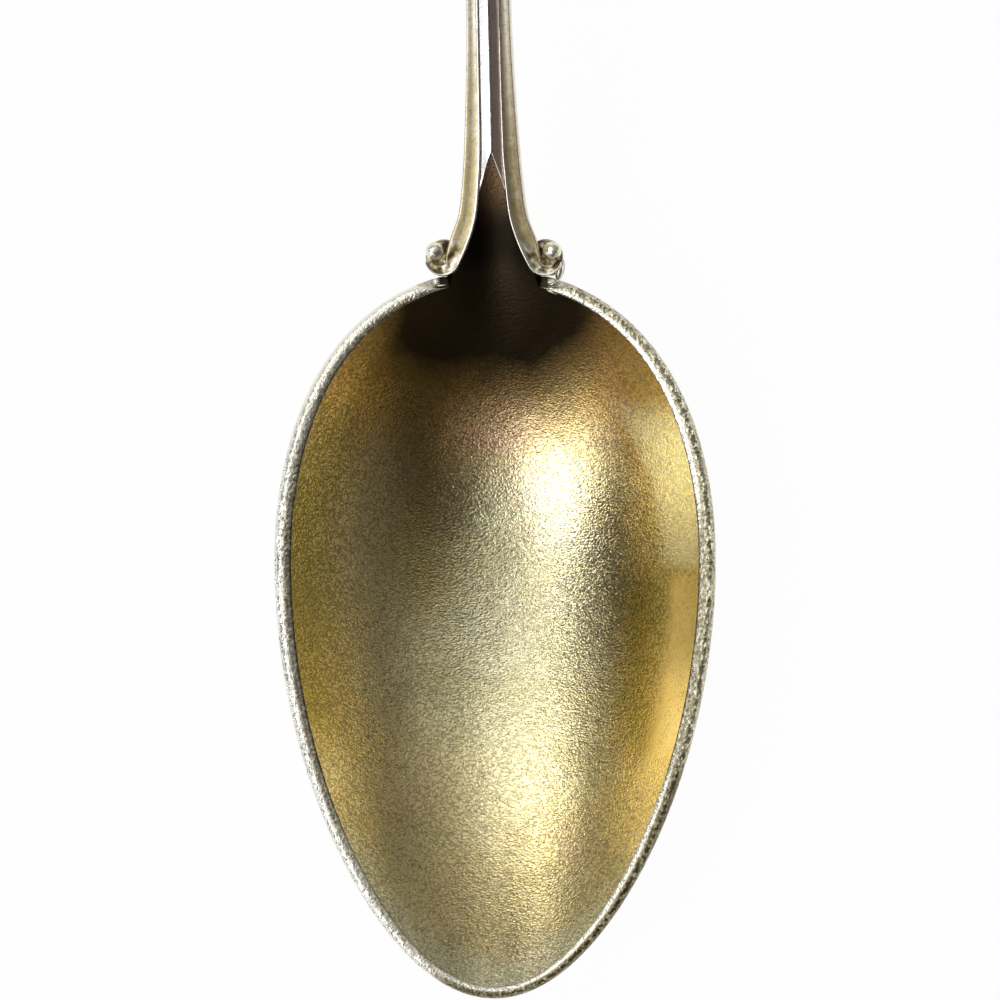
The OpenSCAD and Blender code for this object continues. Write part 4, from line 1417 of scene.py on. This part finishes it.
        settled_y = lines.apex_y + self.ridge_settle
        y = np.concatenate([np.linspace(lines.apex_y, settled_y, self.settle_rows)[:-1],
                            np.linspace(settled_y, end_y, self.ridge_rows)])[:, None]
        u = np.linspace(-1, 1, self.columns)[None]
        x = half_at(y) * u
        for _ in range(5):
            x = half_at(shifted(x, y)) * u
        y = shifted(x, y)
        off = np.sqrt(x * x + lines.ridge_soft**2) - lines.ridge_soft
        crest = lines.bar_top_z(y) + lines.seam + lines.ridge_h * fade(y) - lines.ridge_fall * off
        top = np.stack([x, y, crest], -1)
        under = np.stack([x, y, np.minimum(lines.bar_top_z(y), crest - lines.seam)], -1)
        nicks = self.nick_lumps.over(top)
        places = {"u": u + 0 * x, "off": np.abs(u) + 0 * x, "nicks": nicks}
        top[..., 2] += self.nick * nicks * self.nicked.over(places)
        top[0, :, 2] -= self.tip_drop
        worn = self.crest_worn.over(places)
        worn[:2] = self.tip_worn.over(places)[:2]
        masks = {
            Mask.HOLLOW: self.flank_dark.over(places),
            Mask.WORN: worn,
            # The painted reflection on the right flank.
            Mask.GOLD: self.right_flank_painted_reflection.over(places),
        }
        piece = self.bench.slab("stem_ridge", top, under, masks)
        RIDGE.dress(piece, "silver")
        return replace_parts(piece, "ridge_wire")

    def edge_lines(self) -> tuple[Array, Array]:
        """Return the two lines of the right-hand edge wire, from its scroll round to the handle's end."""
        lines = self.bench.lines
        wide = lines.wire_wide(np.array(lines.cap_y))
        crest_deg = math.degrees(math.acos((lines.crest_r + lines.seam) / (lines.handle_w / 2 - wide)))
        runs = [
            lines.scroll_pair(np.linspace(lines.scroll_end, lines.scroll_start, self.curl_rows)[:-1]),
            lines.join_pair(np.linspace(0, 1, self.join_rows)[:-1]),
            lines.stem_pair(np.linspace(lines.join_y, lines.cap_y, self.stem_rows)[:-1]),
            lines.cap_pair(np.linspace(0, crest_deg, self.curl_rows)),
        ]
        return np.concatenate([run[0] for run in runs]), np.concatenate([run[1] for run in runs])

    def edge(self, side: Side) -> bpy.types.Object:
        """Make the fluted wire along one edge of the stem."""
        lines = self.bench.lines
        inner, outer = self.edge_lines()
        u = (1 - np.cos(np.linspace(0, math.pi, self.edge_columns))) / 2
        flat = lerp(inner[:, None], outer[:, None], u[None, :, None])
        seat = lines.bar_top_z(flat[..., 1]) + lines.seam
        rise = lines.edge_wire_h * through(self.wire_section_shares, u)[None]
        top = raised(flat, seat + rise)
        under = raised(flat, seat)
        lumps = self.curl_lumps.over(top, side.value)
        places = {"y": flat[..., 1], "u": u, "lumps": lumps}
        near, flute = self.near.over(places), self.flute.over(places)
        curl_from, curl_full = (lines.scroll_centre[1] + reach for reach in self.curl_reach)
        curled = smooth_step(curl_from, curl_full, flat[..., 1]) * flute
        top[..., 2] += curled * self.curl_lump * np.clip(lumps, *self.curl_cut)
        # Painted shade: near the bowl, the right-hand wire's flutes are darker than the left-hand one's.
        shade = lerp(*(self.shade_right if side is Side.RIGHT else self.shade_left), near)
        bright = curled * self.tops.over(places)
        masks = {
            Mask.HOLLOW: np.maximum(flute * shade, self.pit_share * curled * self.pits.over(places)),
            Mask.GOLD: lerp(*self.flute_gold, near) * lerp(self.gold_beside, 1.0, flute),
            Mask.WORN: self.wear_and_highlight_share * np.maximum(self.inner_worn.over(places), bright),
        }
        piece = self.bench.slab(f"stem_edge_{side.word}", top, under, masks, side)
        BRIGHT.dress(piece, "silver")
        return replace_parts(piece, f"edge_wire_{side.word}")

    def build(self) -> list[bpy.types.Object]:
        """Make every piece of the stem."""
        return [self.bar(), self.ridge()] + [self.edge(side) for side in Side]


@dataclass
class Beads:
    """The small turned and soldered pieces: scroll plates and balls, shoulder beads and the crest bead."""

    bench: Bench
    dent: float = 0.08
    dent_share: float = 0.8
    top_deg: float = 89.0
    ball_rows: int = 26
    ball_columns: int = 48
    ball_seed: float = 5.0
    solder_seed: float = 14.0
    crest_seed: float = 3.0
    solder_lift: float = 0.3
    crest_lift_share: float = 0.45

    # The scroll plates: their broken edges, and the lumps that their rings carry inside the first ones.
    bevel: float = 0.00006
    arc_points: int = 64
    wall_points: int = 12
    cover_rings: int = 12
    cover: Pair = (0.08, 0.96)
    plate_lump: float = 0.00012
    plate_lump_more: float = 0.2
    plate_lump_unit: float = 0.0001
    plate_lumps: Lumps = Lumps(0.00035, 27.0, 1)

    # Darker low and lighter high over z, the height in shares of a ball's radius or of the bead's height, and
    # on the plates over lump, the height in shares of plate_lump_unit.
    ball_low: Patch = Patch(("z", 0.7, 0), strength=0.8)
    ball_top: Patch = Patch(("z", 1.1, 1.5), strength=0.6)
    crest_low: Patch = Patch(("z", 0.5, 0), strength=0.6)
    bead_low: Patch = Patch(("z", 0.5, 0))
    solder_top: Patch = Patch(("z", 0.3, 1.1))
    plate_low: Patch = Patch(("lump", 0.8, 0.1))
    plate_top: Patch = Patch(("lump", 0.6, 1.0), strength=0.6)
    plate_stemward: Patch = Patch(("x", 0.0002, -0.0003))
    plate_gold: float = 0.6
    plate_outer_share: float = 0.45
    bead_dark: float = 0.8
    bead_bright: float = 0.6
    solder_dark: float = 0.7
    solder_bright: float = 0.6

    # The shoulder bead, and its outline: a share of its radius and of its height.
    bead_r: float = 0.00028
    bead_h: float = 0.00062
    bead_deg: float = 166.0
    bead_across_share: float = 0.68
    bead_dent: float = 0.06
    bead_lumps: Lumps = Lumps(0.0004, 8.0, 2)
    bead_points: int = 40
    bead_shares: tuple = (
        (0.7, 0), (0.7, 0.2), (1, 0.36), (1, 0.56), (0.7, 0.72), (0.8, 0.84), (0.5, 1), (0.06, 1))

    # The lumps of solder: name, side, on the neck or not, x, y, half length across and along, turn.
    solder: tuple = (
        ("scroll_drop_right", Side.RIGHT, True, 0.00393, 0.04905, 0.00024, 0.00021, 10),
        ("shoulder_neck_right", Side.RIGHT, True, 0.00448, 0.04925, 0.00030, 0.00085, -14),
        ("shoulder_fold_right", Side.RIGHT, False, 0.00415, 0.04832, 0.00034, 0.00009, 18),
        ("shoulder_spur_right", Side.RIGHT, False, 0.00395, 0.04775, 0.00046, 0.00011, -22),
        ("shoulder_leaf_left", Side.LEFT, False, 0.00352, 0.04822, 0.00036, 0.00008, -8),
    )

    def on_neck(self, points: Array, centre: Array) -> Array:
        """Return points moved onto the stem's plane at the scrolls, at a place seen from above."""
        lines = self.bench.lines
        place = float(lines.scroll_centre[1])
        rise = float(lines.bar_rise(np.array(place)))
        tilt = math.atan(rise)
        c, s = math.cos(tilt), math.sin(tilt)
        x, y, z = np.moveaxis(points, -1, 0)
        turned = np.stack([x, y * c - z * s, y * s + z * c], -1)
        height = float(lines.bar_top_z(np.array(place))) + (centre[1] - place) * rise
        return turned + [centre[0], centre[1], height]

    def ball_rings(self, radius: float, lift: float, seed: float) -> Array:
        """Return the rings of a slightly uneven ball with a flat seat at z = 0."""
        low = math.degrees(math.asin(max(-1, -lift / radius)))
        rise = np.radians(np.linspace(low, self.top_deg, self.ball_rows))[:, None]
        turn = np.radians(np.linspace(0, 360, self.ball_columns, endpoint=False))[None]
        out = np.cos(rise)
        way = np.stack([out * np.cos(turn), out * np.sin(turn), np.sin(rise) + 0 * turn], -1)
        left = 1 - self.dent * (1 + Lumps(radius * self.dent_share, seed, 3).over(way * radius))
        left = np.where(rise > math.radians(low) + TINY, left, 1 - self.dent)
        rings = way * (radius * left)[..., None] + [0, 0, lift]
        rings[..., 2] = np.maximum(rings[..., 2], 0)
        rings[0, :, 2] = 0
        return rings

    def ball(self, side: Side) -> bpy.types.Object:
        """Make the ball in one scroll."""
        lines = self.bench.lines
        seed = self.ball_seed + side.value
        rings = self.ball_rings(lines.ball_r, lines.ball_r * lines.ball_lift_share, seed)
        place = self.on_neck(rings + [0, 0, lines.seam], lines.ball_centre)
        places = {"z": rings[..., 2] / lines.ball_r}
        hollow = self.ball_low.over(places)
        masks = {Mask.HOLLOW: hollow, Mask.WORN: self.ball_top.over(places), Mask.GOLD: hollow}
        piece = self.bench.lathe(f"scroll_pearl_{side.word}", place, masks, side, self.bench.round_deg)
        PEARL.dress(piece, "silver")
        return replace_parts(piece, f"scroll_ball_{side.word}")

    def plate(self, side: Side) -> bpy.types.Object:
        """Make the small plate under one scroll, with its edges broken."""
        lines = self.bench.lines
        r = lines.scroll_r - lines.seam
        x0, y0 = lines.scroll_centre
        low = lines.stem_y - lines.seam - y0

        def inner_x(v: float) -> float:
            """Return how far the plate reaches towards the stem at a height v."""
            edge = float(lines.bar_half(np.array(y0 + v))) + 3 * lines.seam - x0
            return max(edge, -math.sqrt(max(0.0, r * r - v * v)))

        high = r / 2
        for _ in range(6):
            high = math.sqrt(r * r - inner_x(high) ** 2)
        start = -math.degrees(math.asin(low / r)) - 180
        stop = 180 - math.degrees(math.asin(high / r))
        arc = around(np.zeros(2), r, np.linspace(start, stop, self.arc_points))
        heights = np.linspace(high, low, self.wall_points)[1:-1]
        wall = np.array([[inner_x(v), v] for v in heights])
        outline = np.concatenate([arc, wall])
        middle = outline.mean(0)
        drawn = middle + (outline - middle) * (1 - self.bevel / r)
        levels = [(drawn, -lines.plate_t), (outline, self.bevel - lines.plate_t), (outline, -self.bevel)]
        levels += [(drawn, 0.0)]
        edge_rings = len(levels)
        levels += [(lerp(drawn, middle, share), 0.0) for share in np.linspace(*self.cover, self.cover_rings)]
        rings = np.stack([raised(ring, np.full(len(ring), z)) for ring, z in levels])
        lumps = self.plate_lumps.over(rings[edge_rings:], side.value)
        rings[edge_rings:, :, 2] += self.plate_lump * np.clip(lumps + self.plate_lump_more, 0, 1)
        places = {"lump": rings[..., 2] / self.plate_lump_unit, "x": rings[..., 0]}
        stemward = self.plate_stemward.over(places)
        masks = {
            Mask.HOLLOW: self.plate_low.over(places) * lerp(self.plate_outer_share, 1.0, stemward),
            Mask.WORN: self.plate_top.over(places),
            Mask.GOLD: np.full(rings.shape[:2], self.plate_gold),
        }
        place = self.on_neck(rings, lines.scroll_centre)
        piece = self.bench.lathe(f"scroll_base_{side.word}", place, masks, side)
        BRIGHT.dress(piece, "silver")
        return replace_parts(piece, f"scroll_plate_{side.word}")

    def shoulder(self, side: Side) -> bpy.types.Object:
        """Make the turned bead between one scroll and the rim wire's end."""
        lines = self.bench.lines
        inner = lines.inner_edge(np.array(self.bead_deg))
        flat = lerp(inner, lines.outer_edge(np.array(self.bead_deg)), self.bead_across_share)
        shares = np.array(self.bead_shares)
        k = np.linspace(0, len(shares) - 1, self.bead_points)
        r = self.bead_r * np.interp(k, range(len(shares)), shares[:, 0])
        z = self.bead_h * np.interp(k, range(len(shares)), shares[:, 1])
        turn = np.radians(np.linspace(0, 360, self.bead_points, endpoint=False))[None]
        rings = np.stack([r[:, None] * np.cos(turn), r[:, None] * np.sin(turn), z[:, None] + 0 * turn], -1)
        dents = 1 + self.bead_lumps.over(rings[1:], side.value)
        rings[1:, :, :2] *= 1 - self.bead_dent * dents[..., None]
        place = rings + [*flat, float(lines.shell_top_z(inner)) + 2 * lines.seam]
        hollow = self.bead_low.over({"z": rings[..., 2] / self.bead_h})
        worn = (1 - hollow) * self.bead_bright
        masks = {Mask.HOLLOW: hollow * self.bead_dark, Mask.WORN: worn, Mask.GOLD: hollow}
        piece = self.bench.lathe(f"shoulder_grain_{side.word}", place, masks, side, self.bench.round_deg)
        FROSTED.dress(piece, "silver")
        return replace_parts(piece, f"shoulder_bead_{side.word}")

    def grain_of_solder(
        self,
        name: str,
        side: Side,
        on_neck: bool,
        x: float,
        y: float,
        wide: float,
        deep: float,
        turn_deg: float,
    ) -> bpy.types.Object:
        """Make one small lump that the solder left between a scroll and the rim.

        Args:
            name: The lump's name.
            side: The side that it is on.
            on_neck: Whether it lies on the stem's plane, and not on the bowl's edge.
            x: How far it lies from the middle.
            y: Its place along the spoon.
            wide: Half its length across, before it is turned.
            deep: Half its length along, before it is turned.
            turn_deg: How far it is turned, seen from above.

        Returns:
            The new piece.
        """
        lines = self.bench.lines
        ball = self.ball_rings(1.0, self.solder_lift, self.solder_seed + x / MM)
        turn = math.radians(turn_deg)
        c, s = math.cos(turn), math.sin(turn)
        across, along, up = ball[..., 0] * wide, ball[..., 1] * deep, ball[..., 2] * math.sqrt(wide * deep)
        rings = np.stack([across * c - along * s, across * s + along * c, up], -1)
        if on_neck:
            place = self.on_neck(rings, np.array([x, y]))
        else:
            place = rings + [x, y, float(lines.shell_top_z(np.array([x, y])))]
        bright = self.solder_top.over({"z": ball[..., 2]})
        hollow = (1 - bright) * self.solder_dark
        masks = {Mask.HOLLOW: hollow, Mask.WORN: bright * self.solder_bright, Mask.GOLD: 1 - bright}
        piece = self.bench.lathe(name, place, masks, side, self.bench.round_deg)
        PEARL.dress(piece, "silver")
        return piece

    def crest(self) -> bpy.types.Object:
        """Make the bead between the edge wires at the handle's end."""
        lines = self.bench.lines
        rings = self.ball_rings(lines.crest_r, lines.crest_r * self.crest_lift_share, self.crest_seed)
        place = rings + [0, lines.overall_len - lines.crest_r - lines.seam, lines.handle_t + lines.seam]
        hollow = self.crest_low.over({"z": rings[..., 2] / lines.crest_r})
        masks = {Mask.HOLLOW: hollow, Mask.WORN: 0 * hollow, Mask.GOLD: hollow}
        piece = self.bench.lathe("handle_crest", place, masks, Side.RIGHT, self.bench.round_deg)
        BRIGHT.dress(piece, "silver")
        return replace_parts(piece, "crest_bead")

    def build(self) -> list[bpy.types.Object]:
        """Make every small piece."""
        paired = [make(side) for side in Side for make in (self.plate, self.ball, self.shoulder)]
        return paired + [self.crest()] + [self.grain_of_solder(*row) for row in self.solder]


DAYLIGHT: Colour = (1.0, 0.98, 0.92)


@dataclass(frozen=True)
class Glow:
    """A soft light in the room, seen as a lobe of brightness round one direction.

    Its direction leans from straight up, by so many degrees towards +x and towards +y.
    """

    name: str
    lean_x: float
    lean_y: float
    sharpness: float
    strength: float
    tint: Colour = (1.0, 1.0, 1.0)

    @property
    def towards(self) -> Colour:
        """The direction of the light's middle."""
        lean = math.hypot(self.lean_x, self.lean_y)
        across = math.sin(math.radians(lean)) / max(lean, TINY)
        return self.lean_x * across, self.lean_y * across, math.cos(math.radians(lean))


@dataclass(frozen=True)
class Studio:
    """The room, the lamps, the floor and the camera."""

    ambient: Colour = (0.030, 0.028, 0.024)
    horizon: Colour = (0.07, 0.066, 0.06)
    glows: tuple[Glow, ...] = (
        Glow("window, near end, top", -15, -10, 60, 1.0),
        Glow("window, near end, high", -24, -13, 90, 3.15),
        Glow("window, near end, middle", -33, -19, 90, 5.0),
        Glow("window, near end, low", -42, -26, 90, 3.6),
        Glow("window, near end, sill", -50, -36, 80, 1.6),
        Glow("window, near end, foot", -60, -47, 60, 0.7),
        Glow("window, near end, frame", -18, -34, 70, 2.7),
        Glow("window, far end, high", -27, 27, 70, 2.4, DAYLIGHT),
        Glow("window, far end, middle", -38, 32, 70, 2.9, DAYLIGHT),
        Glow("window, far end, low", -50, 37, 70, 0.95, DAYLIGHT),
        Glow("window, mullion", -55, 17, 80, 0.25),
        Glow("ceiling, far end", -6, 26, 20, 1.7),
        Glow("far wall", 28, 28, 14, 0.55, (1.0, 0.97, 0.88)),
        Glow("far wall, low", 53, 53, 30, 0.2),
        Glow("shelf, far end", 0, 74, 40, 0.8),
        Glow("shelf, left", -36, 66, 60, 0.9),
        Glow("low shelf, left", -76, 44, 50, 0.5),
        Glow("low sill, near end", -36, -64, 50, 0.35),
        Glow("warm wall, near end", 8, -39, 40, 0.42, (1.0, 0.80, 0.62)),
        Glow("low wall on the left", -99, -26, 60, 6.0),
        Glow("low corner on the left", -101, -8, 120, 3.0),
        Glow("low wall on the right", 86, 32, 30, 0.24),
        Glow("near wall on the right", 70, -15, 8, 0.10),
    )
    band_height: float = 0.3
    band_power: float = 1.5

    # The camera: what it looks at, the width that it sees there, its distance, lean and lens.
    target: Vector = field(default_factory=lambda: Vector((0.00037, -0.0403, 0.0085)))
    frame_width: float = 0.0677
    distance: float = 0.45
    lean_deg: float = 5.0
    sensor_mm: float = 36.0
    clip: Pair = (0.01, 10.0)

    # The floor: its size, its far walls' height, how far it lies under the spoon, and its paper.
    floor_size: float = 6.0
    wall_height: float = 0.36
    floor_gap: float = 0.00002
    paper: Colour = (0.9, 0.9, 0.9)
    white: Colour = (1.0, 1.0, 1.0)
    seen_white: float = 0.97

    def room(self) -> None:
        """Make the world: a dim room with soft lights."""
        world = bpy.data.worlds.new("room")
        bpy.context.scene.world = world
        world.use_nodes = True
        sheet = Sheet(world.node_tree)
        way = sheet.node("ShaderNodeTexCoord", {}, {}).outputs["Generated"]
        parts = sheet.node("ShaderNodeSeparateXYZ", {}, {0: way})
        up = Wire(sheet, parts.outputs[2])
        band = (1 - abs(up) / self.band_height).kept() ** self.band_power
        colour = sheet.colour(band, self.ambient, self.horizon)
        for glow in self.glows:
            facing = Wire(sheet, sheet.vector("DOT_PRODUCT", way, glow.towards, 1))
            strength = facing.kept() ** glow.sharpness * glow.strength
            scale = {0: glow.tint, "Scale": strength}
            shine = sheet.node("ShaderNodeVectorMath", {"operation": "SCALE"}, scale)
            colour = sheet.vector("ADD", colour, shine.outputs[0])
        lit = sheet.node("ShaderNodeBackground", {}, {"Color": colour, "Strength": 1.0})
        sheet.node("ShaderNodeOutputWorld", {}, {"Surface": lit.outputs[0]})

    def floor(self) -> bpy.types.Object:
        """Make the pale floor, which keeps a faint shadow, and its low far walls, which low views see."""
        half = self.floor_size / 2
        mesh = bpy.data.meshes.new("floor")
        corners = [(-half, -half), (half, -half), (half, half), (-half, half)]
        points = [(x, y, z) for z in (-self.floor_gap, self.wall_height) for x, y in corners]
        walls = [(side, (side + 1) % 4, (side + 1) % 4 + 4, side + 4) for side in range(4)]
        mesh.from_pydata(points, [], [(0, 1, 2, 3), *walls])
        floor = placed("floor", mesh)
        paper = bpy.data.materials.new("white_paper")
        paper.use_nodes = True
        sheet = Sheet(paper.node_tree)
        path = sheet.node("ShaderNodeLightPath", {}, {})
        seen = Wire(sheet, path.outputs["Is Camera Ray"]) + Wire(sheet, path.outputs["Is Glossy Ray"])
        seen = (seen + Wire(sheet, path.outputs["Is Transmission Ray"])).kept()
        matt = sheet.node("ShaderNodeBsdfDiffuse", {}, {"Color": self.paper}).outputs[0]
        glow = sheet.node("ShaderNodeEmission", {}, {"Color": self.white, "Strength": 1.0}).outputs[0]
        mixed = sheet.node("ShaderNodeMixShader", {}, {0: seen * self.seen_white, 1: matt, 2: glow})
        sheet.node("ShaderNodeOutputMaterial", {}, {"Surface": mixed.outputs[0]})
        mesh.materials.append(paper)
        return floor

    def camera(self) -> bpy.types.Object:
        """Make the camera, straight above the bowl and leaning a little to the right."""
        lens = bpy.data.cameras.new("camera")
        lens.sensor_width = self.sensor_mm
        lens.lens = lens.sensor_width * self.distance / self.frame_width
        lens.clip_start, lens.clip_end = self.clip
        camera = placed("camera", lens)
        lean = math.radians(self.lean_deg)
        back = Vector((math.sin(lean), 0, math.cos(lean)))
        right = Vector((math.cos(lean), 0, -math.sin(lean)))
        turn = Matrix((right, Vector((0, 1, 0)), back)).transposed()
        camera.matrix_world = Matrix.Translation(self.target + back * self.distance) @ turn.to_4x4()
        bpy.context.scene.camera = camera
        return camera

    def build(self) -> None:
        """Make the whole studio."""
        bpy.context.scene.view_settings.view_transform = "Standard"
        self.room()
        self.floor()
        self.camera()


def main() -> None:
    """Build the spoon and its studio, and report each piece."""
    logging.basicConfig(level=logging.INFO, format="%(name)s: %(message)s")
    Studio().build()
    bench = Bench(Lines())
    for part in (Bowl(bench), Stem(bench), Beads(bench)):
        for piece in part.build():
            log.info("%s: %s, %d faces", type(part).__name__, piece.name, len(piece.data.polygons))


if __name__ == "__main__":
    main()
